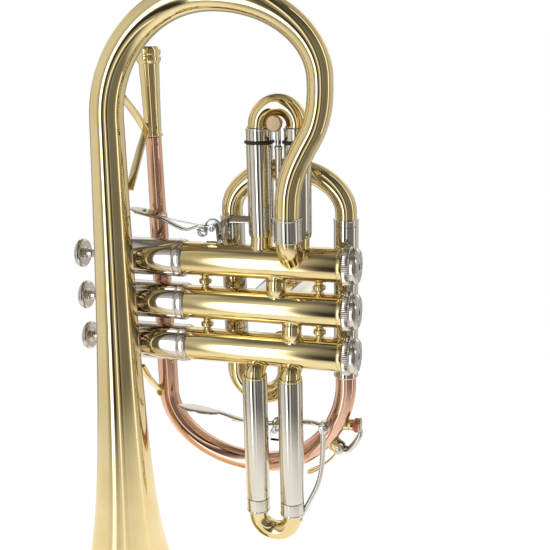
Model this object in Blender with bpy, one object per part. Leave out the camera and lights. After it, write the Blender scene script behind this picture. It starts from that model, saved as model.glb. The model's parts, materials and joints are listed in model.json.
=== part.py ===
"""Short-model cornet with three piston valves, standing on its bell.

The model stands on the bell rim: +Z runs up the bell towards the mouthpiece end, +X runs along the
valves from the finger buttons to the bottom caps, and +Y is the player's right.
Sizes below are in millimetres, measured from the axis of the second valve where the middle of its
ports lies; at() turns such a place into metres from the model's origin.
"""

import math

import bmesh
import bpy
from mathutils import Matrix, Vector

MM = 0.001
GAP = 0.3

# Driving dimensions
VALVE_PITCH = 24.6
CASING_R = 9.07
CASING_BORE_R = 8.45
CASING_TOP_X = -84.0
CASING_END_X = 37.0
BALUSTER_R = 10.5
BALUSTER_END_X = -50.2
CAP_END_X = 45.5
PISTON_R = 8.15
PISTON_STROKE = 16.7
BUTTON_X = -112.7
BUTTON_R = 8.05
BUTTON_DEPTH = 6.1

BELL_RIM_Z = -200.0
BELL_RIM_R = 60.0
BELL_FLARE_MM = 13.8
BELL_FLARE_POWER = 0.62
BELL_WALL = 1.0
BELL_RIM_WIDTH = 2.4
BELL_UPRIGHT_Z = -140.0
BELL_X = -86.3
BELL_Y = -23.0
BELL_LEAN = 0.0285
BELL_TOP_Z = 99.0
CROOK_TOP_Z = 158.0

TAIL_X = 28.1
TAIL_Y = -13.0
TAIL_R = 6.35
TAIL_TOP_Z = 118.0
TUBE_WALL = 0.6

SLIDE_GAUGE = 20.0
SLIDE_OUTER_R = 6.9
SLIDE_LEG_R = 6.1
SLIDE_BOW_R = 5.4
PORT_R = 5.6
SLIDE_LINE_Y = 17.0
LEADPIPE_X = -72.9
MAIN_LEFT_X = -28.5
MAIN_RIGHT_X = 34.9
MAIN_OUTER_R = 6.6
MAIN_LEG_R = 5.75

FIRST_SLIDE = (2.9, 1.5)
FIRST_OUTER_Z = (39.8, 86.6)
SECOND_SLIDE = (-0.1, 1.0)
SECOND_OUTER_Y = (6.0, 29.0)
SECOND_SLIDE_END_Y = 50.2
THIRD_SLIDE = (-1.5, -5.0)
THIRD_OUTER_Z = (-39.2, -112.0)

TRIGGER_1 = (-33.7, 41.7)
TRIGGER_3 = (-1.5, -71.5)
TRIGGER_3_REACH = 26.5
WATER_KEY_HINGE = (31.2, -88.0)
NIPPLE_Z = -73.0
NIPPLE_END_X = 39.4

# The origin is under the middle of the whole model's box, on the plane that the rim stands on.
CENTRE_X = (BELL_X - BELL_RIM_R + CAP_END_X) / 2
CENTRE_Y = (BELL_Y - BELL_RIM_R + SECOND_SLIDE_END_Y) / 2

ROUND_SIDES = 16
TUBE_SIDES = 12
BELL_SIDES = 28

COLOURS = {
    "lacquered_brass": ((0.78, 0.58, 0.24), 0.16, 1.0),
    "rose_brass": ((0.74, 0.46, 0.30), 0.18, 1.0),
    "nickel_silver": ((0.72, 0.71, 0.68), 0.14, 1.0),
    "polished_nickel": ((0.80, 0.79, 0.76), 0.10, 1.0),
    "piston_steel": ((0.62, 0.62, 0.62), 0.22, 1.0),
}


def at(x, y, z):
    """A place given from the second valve, in metres from the model's origin."""
    return Vector((x - CENTRE_X, y - CENTRE_Y, z - BELL_RIM_Z)) * MM


def clear_scene():
    for obj in list(bpy.data.objects):
        bpy.data.objects.remove(obj, do_unlink=True)


def material(name):
    found = bpy.data.materials.get(name)
    if found:
        return found
    colour, roughness, metallic = COLOURS[name]
    made = bpy.data.materials.new(name)
    made.use_nodes = True
    shader = made.node_tree.nodes["Principled BSDF"]
    shader.inputs["Base Color"].default_value = (*colour, 1.0)
    shader.inputs["Roughness"].default_value = roughness
    shader.inputs["Metallic"].default_value = metallic
    made.diffuse_color = (*colour, 1.0)
    return made


def add_object(name, shape, material_name, origin):
    """An object whose mesh is the bmesh 'shape', moved so that the object's origin is at 'origin'."""
    bmesh.ops.recalc_face_normals(shape, faces=shape.faces)
    if shape.calc_volume(signed=True) < 0:
        bmesh.ops.reverse_faces(shape, faces=shape.faces)
    bmesh.ops.translate(shape, verts=shape.verts, vec=-origin)
    mesh = bpy.data.meshes.new(name)
    shape.to_mesh(mesh)
    shape.free()
    mesh.shade_smooth()
    mesh.set_sharp_from_angle(angle=math.radians(35))
    mesh.materials.append(material(material_name))
    obj = bpy.data.objects.new(name, mesh)
    obj.location = origin
    bpy.context.scene.collection.objects.link(obj)
    return obj


def as_helper(obj):
    obj.hide_render = True
    obj.display_type = "WIRE"
    return obj


def cut(obj, *cutters):
    for cutter in cutters:
        boolean = obj.modifiers.new("Cut " + cutter.name, "BOOLEAN")
        boolean.operation = "DIFFERENCE"
        boolean.object = cutter
    return obj


def fuse(obj, *others):
    for other in others:
        boolean = obj.modifiers.new("Join " + other.name, "BOOLEAN")
        boolean.operation = "UNION"
        boolean.object = as_helper(other)
    return obj


def per_point(value, count):
    return [value] * count if isinstance(value, (int, float)) else list(value)


def ring_frames(path, across):
    """A tangent and two side directions at each point, carried along the path without twist."""
    frames = []
    side = Vector(across)
    for i, point in enumerate(path):
        before = path[max(i - 1, 0)]
        after = path[min(i + 1, len(path) - 1)]
        tangent = (after - before).normalized()
        side = (side - side.dot(tangent) * tangent).normalized()
        frames.append((point, side, tangent.cross(side)))
    return frames


def ring(shape, frame, radius, sides):
    point, side, up = frame
    turns = [2 * math.pi * k / sides for k in range(sides)]
    return [
        shape.verts.new(point + radius * MM * (math.cos(t) * side + math.sin(t) * up))
        for t in turns
    ]


def bridge(shape, first, second):
    count = len(first)
    for k in range(count):
        shape.faces.new((first[k], first[(k + 1) % count], second[(k + 1) % count], second[k]))


def tube(name, path, outer, inner, material_name, sides=TUBE_SIDES, across=(0, 1, 0), origin=None):
    """A pipe along the path, open at both ends; the radii are one value or one for each point."""
    shape = bmesh.new()
    frames = ring_frames(path, across)
    skins = []
    for radii in (per_point(outer, len(path)), per_point(inner, len(path))):
        skins.append([ring(shape, frame, r, sides) for frame, r in zip(frames, radii)])
    for rings in skins:
        for first, second in zip(rings, rings[1:]):
            bridge(shape, first, second)
    for end in (0, -1):
        bridge(shape, skins[0][end], skins[1][end])
    return add_object(name, shape, material_name, origin or path[0])


def rod(name, path, radius, material_name, sides=TUBE_SIDES, across=(0, 1, 0), origin=None):
    """A solid round bar along the path, closed by a flat face at each end."""
    shape = bmesh.new()
    radii = per_point(radius, len(path))
    frames = ring_frames(path, across)
    rings = [ring(shape, frame, r, sides) for frame, r in zip(frames, radii)]
    for first, second in zip(rings, rings[1:]):
        bridge(shape, first, second)
    shape.faces.new(rings[0])
    shape.faces.new(rings[-1])
    return add_object(name, shape, material_name, origin or path[0])


def turned(name, outline, axis_from, direction, material_name, sides=ROUND_SIDES):
    """A ring turned about a line: the outline is a closed loop of (distance along, radius)."""
    shape = bmesh.new()
    along = Vector(direction)
    across = Vector((0, 1, 0)) if abs(along.y) < 0.5 else Vector((1, 0, 0))
    rings = []
    for distance, radius in outline:
        frame = (axis_from + distance * MM * along, across, along.cross(across))
        rings.append(ring(shape, frame, radius, sides))
    for first, second in zip(rings, rings[1:] + rings[:1]):
        bridge(shape, first, second)
    return add_object(name, shape, material_name, axis_from)


def block(name, low, high, material_name, tilt=0.0, origin=None):
    """A box between two corners, turned about the Y direction through its middle."""
    shape = bmesh.new()
    low_point, high_point = at(*low), at(*high)
    size = high_point - low_point
    middle = (low_point + high_point) / 2
    bmesh.ops.create_cube(shape, size=1.0)
    place = Matrix.Translation(middle) @ Matrix.Rotation(math.radians(tilt), 4, "Y")
    bmesh.ops.transform(shape, matrix=place @ Matrix.Diagonal((*size, 1)), verts=shape.verts)
    return add_object(name, shape, material_name, origin or middle)


def strap(name, points, width, thickness, material_name, origin, flat=(0, 1, 0)):
    """A flat strip bent along the points, 'width' wide in the direction 'flat'."""
    shape = bmesh.new()
    corners = []
    for i, point in enumerate(points):
        before = points[max(i - 1, 0)]
        after = points[min(i + 1, len(points) - 1)]
        normal = (after - before).normalized().cross(Vector(flat)).normalized()
        half = Vector(flat) * width / 2 * MM
        lift = normal * thickness / 2 * MM
        offsets = (half + lift, lift - half, -half - lift, half - lift)
        corners.append([shape.verts.new(point + offset) for offset in offsets])
    for first, second in zip(corners, corners[1:]):
        bridge(shape, first, second)
    shape.faces.new(corners[0])
    shape.faces.new(corners[-1])
    return add_object(name, shape, material_name, origin)


def quarter(start, end, corner_first, steps):
    """Points of a quarter ellipse in the XZ plane, with Y running evenly from start to end.

    corner_first is true when the curve leaves 'start' along Z, and false when along X.
    """
    points = []
    for i in range(steps + 1):
        turn = math.pi / 2 * i / steps
        rise, run = math.sin(turn), 1 - math.cos(turn)
        share_x, share_z = (run, rise) if corner_first else (rise, run)
        x = start[0] + (end[0] - start[0]) * share_x
        z = start[2] + (end[2] - start[2]) * share_z
        y = start[1] + (end[1] - start[1]) * i / steps
        points.append((x, y, z))
    return points


def arch(left, top, right, steps):
    """A U from the left foot over the top to the right foot."""
    first = quarter(left, top, True, steps)
    return first + quarter(top, right, False, steps)[1:]


def placed(points):
    return [at(*point) for point in points]


def smooth(points, steps):
    """Catmull-Rom curve through the points, as places in metres."""
    fixed = placed(points)
    padded = [2 * fixed[0] - fixed[1], *fixed, 2 * fixed[-1] - fixed[-2]]
    curve = []
    for a, b, c, d in zip(padded, padded[1:], padded[2:], padded[3:]):
        for i in range(steps):
            t = i / steps
            curve.append(
                0.5 * (2 * b + (c - a) * t + (2 * a - 5 * b + 4 * c - d) * t**2
                       + (3 * b - a - 3 * c + d) * t**3)
            )
    return curve + [fixed[-1]]


def valve_z(number):
    return (2 - number) * VALVE_PITCH


def bell_radius(z):
    """Outer radius of the bell at a height: a horn whose flare follows a power of the distance."""
    depth = z - BELL_RIM_Z
    return BELL_RIM_R * (BELL_FLARE_MM / (depth + BELL_FLARE_MM)) ** BELL_FLARE_POWER


def bell_centre(z):
    """The bell's axis leans towards the valves as it rises, and is upright in the flare."""
    return BELL_X + BELL_LEAN * max(z - BELL_UPRIGHT_Z, 0.0)


def bell():
    """The bell from its rim up to the crook; it returns a slightly larger solid to cut with."""
    depths = [0, 1.2, 3.5, 8, 15, 26, 42, 66, 100, 150, 220]
    heights = [BELL_RIM_Z + depth for depth in depths] + [BELL_TOP_Z]
    path = [at(bell_centre(z), BELL_Y, z) for z in heights]
    radii = [bell_radius(z) for z in heights]
    bores = [radius - BELL_WALL for radius in radii]
    bores[0] = radii[0] - BELL_RIM_WIDTH
    tube("bell", path, radii, bores, "lacquered_brass", sides=BELL_SIDES, across=(1, 0, 0))
    grown = [radius + GAP for radius in radii]
    cutter = rod("bell_cutter", path, grown, "lacquered_brass", sides=BELL_SIDES, across=(1, 0, 0))
    return as_helper(cutter)


def crook():
    """The bow over the top, from the bell to the bell tail, and a larger solid to cut with."""
    left = (bell_centre(BELL_TOP_Z), BELL_Y, BELL_TOP_Z + 2 * GAP)
    top = ((left[0] + TAIL_X) / 2, (BELL_Y + TAIL_Y) / 2, CROOK_TOP_Z)
    right = (TAIL_X, TAIL_Y, TAIL_TOP_Z)
    leads = [(x, y, z + 0.8) for x, y, z in (left, right)]
    path = placed([left, *arch(leads[0], top, leads[1], 7), right])
    start, end = bell_radius(BELL_TOP_Z), TAIL_R
    radii = [start + (end - start) * i / (len(path) - 1) for i in range(len(path))]
    tube("crook", path, radii, [r - TUBE_WALL for r in radii], "lacquered_brass")
    grown = [radius + GAP for radius in radii]
    return as_helper(rod("crook_cutter", path, grown, "lacquered_brass"))


def bell_tail(*cutters):
    """The S-shaped tube from the crook down to the first valve, with its ferrule and knuckle."""
    x, y, radius = TAIL_X, TAIL_Y, TAIL_R
    foot_x = x - 17.2
    points = [
        (x, y, TAIL_TOP_Z - GAP), (x, y, 112), (x - 0.8, y, 104), (x - 3.4, y, 95), (x - 8.8, y, 85),
        (x - 13.6, y, 75), (x - 16.4, y, 65), (foot_x, y, 55), (foot_x, y, 45.2),
    ]
    tube("bell_tail", smooth(points, 1), radius, radius - TUBE_WALL, "lacquered_brass")
    entry = [
        (foot_x, y, 44.8), (foot_x, y, 39.0), (foot_x, y + 1.6, 34.6), (foot_x, y + 5.0, 30.0),
    ]
    knuckle = tube("tail_knuckle", smooth(entry, 2), radius, radius - TUBE_WALL, "lacquered_brass")
    cut(knuckle, *cutters)
    ferrule = [
        (0, radius + GAP), (0, radius + 0.8), (0.6, radius + 1.0), (12.0, radius + 1.0),
        (12.6, radius + 0.8), (12.6, radius + GAP),
    ]
    turned("tail_ferrule", ferrule, at(foot_x, y, 38.9), (0, 0, 1), "polished_nickel")


def casing(number):
    z = valve_z(number)
    length = CASING_END_X - CASING_TOP_X
    sleeve = [(0, CASING_BORE_R), (0, CASING_R), (length, CASING_R), (length, CASING_BORE_R)]
    start = at(CASING_TOP_X, 0, z)
    turned(f"valve_casing_{number}", sleeve, start, (1, 0, 0), "lacquered_brass")
    cutter_path = [at(CASING_TOP_X, 0, z), at(CASING_END_X, 0, z)]
    cutter = rod(f"casing_cutter_{number}", cutter_path, CASING_R + GAP, "lacquered_brass", sides=ROUND_SIDES)
    return as_helper(cutter)


def baluster(number):
    bore = CASING_R + GAP
    length = BALUSTER_END_X - CASING_TOP_X
    outline = [
        (0, bore), (0, BALUSTER_R), (length - 9.5, BALUSTER_R), (length - 7.5, BALUSTER_R - 0.5),
        (length - 6.0, BALUSTER_R - 0.5), (length - 5.0, BALUSTER_R + 0.3),
        (length - 1.2, BALUSTER_R + 0.3), (length, BALUSTER_R - 0.5), (length, bore),
    ]
    start = at(CASING_TOP_X, 0, valve_z(number))
    turned(f"baluster_{number}", outline, start, (1, 0, 0), "polished_nickel")


def top_cap(number):
    """A screwed cap: a knurled skirt, a flat plate, and a short neck round the stem."""
    start_x = BUTTON_X + BUTTON_DEPTH + PISTON_STROKE
    depth = CASING_TOP_X - GAP - start_x
    outline = [
        (0, 3.0), (0, 6.2), (1.2, 7.0), (1.6, 10.2), (depth, 10.2), (depth, 8.0), (3.0, 8.0), (3.0, 3.0),
    ]
    start = at(start_x, 0, valve_z(number))
    turned(f"top_cap_{number}", outline, start, (1, 0, 0), "polished_nickel")


def bottom_cap(number):
    """A screwed cap with a knurled flange and a vent hole in the middle of its end."""
    outline = [
        (0, 8.2), (0, 9.6), (2.4, 9.6), (2.9, 10.4), (6.0, 10.4), (6.6, 9.7), (8.2, 8.8),
        (8.2, 2.3), (6.6, 2.3), (6.6, 7.6), (5.6, 8.2),
    ]
    start = at(CASING_END_X + GAP, 0, valve_z(number))
    turned(f"bottom_cap_{number}", outline, start, (1, 0, 0), "polished_nickel")


def piston(number):
    """A hollow piston open at its foot, with its stem standing out of the top cap."""
    origin = at(BUTTON_X, 0, valve_z(number))
    top, foot, stem_end = -66.0, 18.5, BUTTON_X + BUTTON_DEPTH + GAP
    outline = [
        (stem_end, 0.9), (stem_end, 2.2), (top - 2.0, 2.2), (top - 2.0, 3.6), (top, PISTON_R),
        (foot, PISTON_R), (foot, PISTON_R - 0.9), (top + 1.2, PISTON_R - 0.9), (top + 1.2, 0.9),
    ]
    shifted = [(distance - BUTTON_X, radius) for distance, radius in outline]
    turned(f"piston_{number}", shifted, origin, (1, 0, 0), "piston_steel")


def finger_button(number):
    """A round key: a flat rim and a waisted underside that narrows to the stem."""
    outline = [(-2.0, 7.4), (-1.2, BUTTON_R), (0, BUTTON_R), (0.8, 7.2), (2.4, 4.0),
               (BUTTON_DEPTH, 2.9)]
    path = [at(BUTTON_X + distance, 0, valve_z(number)) for distance, _ in outline]
    radii = [radius for _, radius in outline]
    rod(f"finger_button_{number}", path, radii, "polished_nickel", sides=ROUND_SIDES)


def valves():
    cutters = []
    for number in (1, 2, 3):
        cutters.append(casing(number))
        baluster(number)
        top_cap(number)
        bottom_cap(number)
        piston(number)
        finger_button(number)
    return cutters


def casing_spacer(name, x, upper, cutters):
    """A turned post soldered between two casings."""
    middle = valve_z(upper) - VALVE_PITCH / 2
    outline = [(-7.0, 2.0), (-2.6, 2.6), (-1.4, 3.3), (1.4, 3.3), (2.6, 2.6), (7.0, 2.0)]
    path = [at(x, 0, middle + height) for height, _ in outline]
    post = rod(name, path, [radius for _, radius in outline], "lacquered_brass")
    cut(post, *cutters)


def crossover(name, x, upper, cutters):
    """The short passage between two valves: it leaves one casing below and enters the next in front."""
    middle = valve_z(upper) - VALVE_PITCH / 2
    path = [at(x, 0.6, middle + 7.5), at(x, -2.2, middle), at(x, -4.4, middle - 8.5)]
    passage = tube(name, path, 5.3, 3.8, "lacquered_brass")
    cut(passage, *cutters)


def slide_outers(name, centre, line, span, along, cutters=()):
    """The two fixed outer tubes of a valve slide."""
    for side, offset in (("a", -SLIDE_GAUGE / 2), ("b", SLIDE_GAUGE / 2)):
        ends = []
        for distance in span:
            ends.append(at(centre + offset, line, distance) if along == "Z"
                        else at(centre + offset, distance, line))
        across = (0, 1, 0) if along == "Z" else (0, 0, 1)
        outer = tube(f"{name}_outer_{side}", ends, SLIDE_OUTER_R, SLIDE_LEG_R + GAP,
                     "nickel_silver", across=across)
        cut(outer, *cutters)


def first_slide(cutter):
    centre, line = FIRST_SLIDE
    base, mouth = FIRST_OUTER_Z
    slide_outers("slide1", centre, line, FIRST_OUTER_Z, "Z")
    for side, offset in (("a", -SLIDE_GAUGE / 2), ("b", SLIDE_GAUGE / 2)):
        x = centre + offset
        stub = [at(x, line, base - GAP), at(x, line * 0.6, 35), at(x, 0, 26)]
        cut(tube(f"slide1_port_{side}", stub, PORT_R, PORT_R - TUBE_WALL, "lacquered_brass"), cutter)
        heights = [mouth - 38, mouth + GAP, mouth + GAP + 0.01, mouth + 8.0]
        radii = [SLIDE_LEG_R, SLIDE_LEG_R, SLIDE_LEG_R + 0.7, SLIDE_LEG_R + 0.7]
        leg = [at(x, line, z) for z in heights]
        tube(f"slide1_leg_{side}", leg, radii, SLIDE_LEG_R - 0.5, "nickel_silver",
             origin=leg[1])
    foot = mouth + 8.0 + GAP
    top = foot + 1.2 + SLIDE_GAUGE / 2
    ends = [(centre - SLIDE_GAUGE / 2, line, foot)]
    ends += arch((centre - SLIDE_GAUGE / 2, line, top - SLIDE_GAUGE / 2), (centre, line, top),
                 (centre + SLIDE_GAUGE / 2, line, top - SLIDE_GAUGE / 2), 4)
    ends += [(centre + SLIDE_GAUGE / 2, line, foot)]
    tube("slide1_bow", placed(ends), SLIDE_BOW_R, SLIDE_BOW_R - 0.6, "lacquered_brass")
    knob_z = foot + 2.4
    face_y = line - SLIDE_BOW_R - GAP
    knob_path = placed([(centre, face_y - 2.6, knob_z), (centre, face_y, knob_z),
                        (centre, face_y + 0.01, knob_z), (centre, line + 4.0, knob_z)])
    knob = rod("slide1_knob", knob_path, [4.2, 4.2, 2.4, 2.4], "lacquered_brass", across=(0, 0, 1))
    push_path = placed([(centre, line, z) for z in (46.5, 83.9, 84.0, knob_z)])
    push = rod("push_rod", push_path, [1.9, 1.9, 1.4, 1.4], "nickel_silver", sides=10)
    eye = rod("push_rod_eye", placed([(centre, line - 1.0, 46.5), (centre, line + 6.4, 46.5)]), 2.8,
              "nickel_silver", across=(0, 0, 1))
    fuse(knob, push, eye)


def second_slide(cutter):
    centre, z = SECOND_SLIDE
    slide_outers("slide2", centre, z, SECOND_OUTER_Y, "Y", (cutter,))
    mouth = SECOND_OUTER_Y[1]
    half = SLIDE_GAUGE / 2
    crown = SECOND_SLIDE_END_Y - SLIDE_BOW_R
    left, right = centre - half, centre + half
    turn = [math.pi * i / 8 for i in range(9)]
    bend = [(centre - half * math.cos(t), crown - half + half * math.sin(t)) for t in turn]
    points = [(left, mouth - 15.5), (left, mouth + 0.3), (left, mouth + 0.31), (left, mouth + 4.0),
              (left, mouth + 4.01), *bend, (right, mouth + 4.01), (right, mouth + 4.0),
              (right, mouth + 0.31), (right, mouth + 0.3), (right, mouth - 15.5)]
    collar = [SLIDE_LEG_R, SLIDE_LEG_R, SLIDE_LEG_R + 0.7, SLIDE_LEG_R + 0.7, SLIDE_BOW_R]
    radii = collar + [SLIDE_BOW_R] * len(bend) + collar[::-1]
    path = [at(x, y, z) for x, y in points]
    tube("slide2_slide", path, radii, SLIDE_BOW_R - 0.6, "lacquered_brass",
         across=(0, 0, 1), origin=at(centre, mouth, z))


def third_slide(cutter):
    centre, line = THIRD_SLIDE
    base, mouth = THIRD_OUTER_Z
    half = SLIDE_GAUGE / 2
    slide_outers("slide3", centre, line, THIRD_OUTER_Z, "Z")
    for side, offset in (("a", -half), ("b", half)):
        x = centre + offset
        stub = [(x, line, base + GAP), (x, line + 0.6, -35.5), (x, line + 3.4, -27)]
        cut(tube(f"slide3_port_{side}", smooth(stub, 2), 5.9, 5.0, "lacquered_brass"), cutter)
    left, right, crown = centre - half, centre + half, mouth - 11.0 - half
    bend = arch((left, line, crown + half), (centre, line, crown), (right, line, crown + half), 4)
    down = [mouth + 55, mouth - 0.3, mouth - 0.31, mouth - 8.0, mouth - 8.01]
    points = [(left, line, z) for z in down] + bend + [(right, line, z) for z in down[::-1]]
    collar = [SLIDE_LEG_R, SLIDE_LEG_R, SLIDE_LEG_R + 0.7, SLIDE_LEG_R + 0.7, SLIDE_BOW_R]
    radii = collar + [SLIDE_BOW_R] * len(bend) + collar[::-1]
    slide = tube("slide3_slide", placed(points), radii, SLIDE_BOW_R - 0.6, "lacquered_brass",
                 origin=at(centre, line, mouth))
    eye_x, eye_z = TRIGGER_3[0] + TRIGGER_3_REACH, TRIGGER_3[1] + 1.2
    link = smooth([(eye_x, 2.4, eye_z), (eye_x - 0.5, 2.2, -88), (eye_x - 3.0, 0, -104),
                   (right + 4.2, line, mouth - 12.0)], 2)
    link_rod = rod("slide3_link", link, 1.5, "nickel_silver", sides=10)
    eye = rod("slide3_link_eye", placed([(eye_x, 1.0, eye_z), (eye_x, 3.8, eye_z)]), 2.6,
              "nickel_silver", across=(0, 0, 1))
    fuse(slide, link_rod, eye)


def main_tuning_slide():
    y = SLIDE_LINE_Y
    mouth = 42.0
    for side, x, foot in (("left", MAIN_LEFT_X, -18.0), ("right", MAIN_RIGHT_X, -34.0)):
        path = placed([(x, y, foot), (x, y, mouth)])
        tube(f"main_outer_{side}", path, MAIN_OUTER_R, MAIN_LEG_R + GAP, "nickel_silver")
    middle = (MAIN_LEFT_X + MAIN_RIGHT_X) / 2
    bend = arch((MAIN_LEFT_X, y, 48.5), (middle, y, 71.8), (MAIN_RIGHT_X, y, 48.5), 5)
    down = [6.0, mouth + 0.3, mouth + 0.31, mouth + 4.0, mouth + 4.01]
    points = [(MAIN_LEFT_X, y, z) for z in down] + bend + [(MAIN_RIGHT_X, y, z) for z in down[::-1]]
    collar = [MAIN_LEG_R, MAIN_LEG_R, MAIN_OUTER_R, MAIN_OUTER_R, MAIN_LEG_R]
    radii = collar + [MAIN_LEG_R] * len(bend) + collar[::-1]
    tube("main_slide", placed(points), radii, MAIN_LEG_R - TUBE_WALL, "lacquered_brass",
         origin=at(middle, y, mouth))


def return_bow(cutter):
    """From the tuning slide's left tube down past the third valve and up into it from behind."""
    y = SLIDE_LINE_Y
    left, right = MAIN_LEFT_X, 1.2
    bend = arch((left, y, -44.0), ((left + right) / 2, y, -58.6), (right, y, -44.0), 4)
    points = [(left, y, -18.0 - GAP), *bend, (right, y - 0.4, -38.0), (right, y - 3.6, -32.0),
              (right, y - 9.0, -27.0)]
    bow = tube("return_bow", placed(points), MAIN_LEG_R, MAIN_LEG_R - TUBE_WALL, "lacquered_brass")
    cut(bow, cutter)


def leadpipe():
    x, y = LEADPIPE_X, SLIDE_LINE_Y
    heights = [88.0, 55.0, 20.0, -30.0]
    radii = [4.4, 4.9, 5.1, 5.5]
    path = placed([(x, y, z) for z in heights])
    tube("leadpipe", path, radii, [radius - TUBE_WALL for radius in radii], "rose_brass")
    outline = [(88.3, 4.2), (88.3, 5.2), (91.5, 5.2), (92.0, 4.7), (112.0, 4.9), (128.0, 5.6),
               (130.0, 6.6), (134.5, 6.6), (136.0, 5.9), (136.0, 4.9), (114.0, 4.1)]
    shifted = [(z - 88.3, radius) for z, radius in outline]
    turned("receiver", shifted, at(x, y, 88.3), (0, 0, 1), "lacquered_brass")


def front_bow():
    """From the foot of the leadpipe round to the tuning slide, with the water key's nipple."""
    y = SLIDE_LINE_Y
    left, right, bottom = LEADPIPE_X, MAIN_RIGHT_X, -103.0
    middle = (left + right) / 2
    first = quarter((left, y, -62.0), (middle, y, bottom), True, 5)
    second = quarter((middle, y, bottom), (right, y, -48.0), False, 5)
    points = [(left, y, -30.0 - GAP), *first, *second[1:], (right, y, -34.0 - GAP)]
    radii = [5.6] + [MAIN_LEG_R] * (len(points) - 1)
    bow = tube("front_bow", placed(points), radii, [r - TUBE_WALL for r in radii], "rose_brass")
    nipple = tube("nipple", placed([(33.0, y, NIPPLE_Z), (NIPPLE_END_X, y, NIPPLE_Z)]), 3.2, 1.6,
                  "nickel_silver", across=(0, 0, 1))
    fuse(bow, nipple)
    grown = [radius + GAP for radius in radii]
    return as_helper(rod("front_bow_cutter", placed(points), grown, "rose_brass"))


def braces(bell_cutter, crook_cutter, bow_cutter):
    """Flat strips: a V from the leadpipe to the bell and crook, and one from the bell to the bow."""
    x, y = -74.6, SLIDE_LINE_Y
    origin = at(x, y - 5, 92.0)
    pipe = rod("leadpipe_cutter", placed([(LEADPIPE_X, y, z) for z in (80, 140)]), 5.2 + GAP,
               "rose_brass", sides=20)
    low_end, high_end = (x, BELL_Y + 4.0, 61.0), (x, BELL_Y + 4.0, 117.0)
    lower = strap("upper_brace", placed([(x, y - 2.0, 94.0), (x, y - 8.0, 89.0), low_end]), 4.4, 1.8,
                  "lacquered_brass", origin, flat=(1, 0, 0))
    upper = strap("upper_brace_arm", placed([(x, y - 2.0, 89.5), (x, y - 8.0, 94.5), high_end]), 4.4,
                  1.8, "lacquered_brass", origin, flat=(1, 0, 0))
    fuse(lower, upper)
    cut(lower, bell_cutter, crook_cutter, as_helper(pipe))
    bend = [(x - 1.8, y - 1.0, -62.0), (x - 2.0, y - 8.0, -58.0), (x - 3.0, BELL_Y + 7.0, -36.0)]
    low = strap("lower_brace", placed(bend), 4.4, 1.8, "lacquered_brass", at(x, 0, -50.0),
                flat=(1, 0, 0))
    cut(low, bell_cutter, bow_cutter)


def hinge_pin(name, place, span, radius=1.1):
    """The pin of a hinge, whose axis runs along Y; the ears and foot are joined to it."""
    x, z = place
    ends = placed([(x, span[0], z), (x, span[1], z)])
    return rod(name, ends, radius, "nickel_silver", across=(0, 0, 1), origin=at(x, 0, z))


def hinge_barrel(name, place, span, material_name="nickel_silver"):
    """A sleeve that turns on the pin of a hinge."""
    x, z = place
    ends = placed([(x, span[0], z), (x, span[1], z)])
    return tube(name, ends, 2.4, 1.1 + GAP, material_name, across=(0, 0, 1),
                origin=at(x, 0, z))


def first_trigger(cutter):
    """The thumb lever over the first valve and the post it turns on."""
    x, z = TRIGGER_1
    metal = "nickel_silver"
    post = hinge_pin("trigger1_post", TRIGGER_1, (-2.6, 7.2))
    near = block("trigger1_near_ear", (x - 2.0, -2.6, 28.0), (x + 2.0, -0.9, z + 2.2), metal)
    far = block("trigger1_far_ear", (x - 2.0, 5.5, 28.0), (x + 2.0, 7.2, z + 2.2), metal)
    foot = block("trigger1_foot", (x - 3.0, -2.6, 28.0), (x + 3.0, 7.2, 36.4), metal)
    fuse(post, near, far, foot)
    cut(post, cutter)

    origin = at(x, 0, z)
    lever = hinge_barrel("trigger1_lever", TRIGGER_1, (-0.5, 5.1))
    arm_points = [(-82.0, 49.4), (-73.0, 47.7), (-63.0, 45.2), (-55.5, 41.3), (-50.0, 39.9),
                  (-43.0, 42.2), (x - 1.6, z + 0.6)]
    arm = strap("trigger1_arm", placed([(px, 2.3, pz) for px, pz in arm_points]), 4.6, 1.6, metal, origin)
    pad_points = [(-83.0, 50.0), (-73.0, 48.2), (-64.0, 45.9)]
    pad = strap("trigger1_pad", placed([(px, 4.0, pz) for px, pz in pad_points]), 13.0, 1.5, metal, origin)
    neck = block("trigger1_neck", (x + 1.6, 0.6, z - 0.6), (x + 7.4, 4.6, z + 2.4), metal)
    step = block("trigger1_step", (x + 3.4, 0.6, z + 0.2), (x + 7.4, 10.0, z + 5.2), metal)
    bar = block("trigger1_bar", (x + 3.8, 8.8, z + 0.9), (FIRST_SLIDE[0] + 3.2, 10.0, z + 5.5), metal)
    fuse(lever, arm, pad, neck, step, bar)


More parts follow.
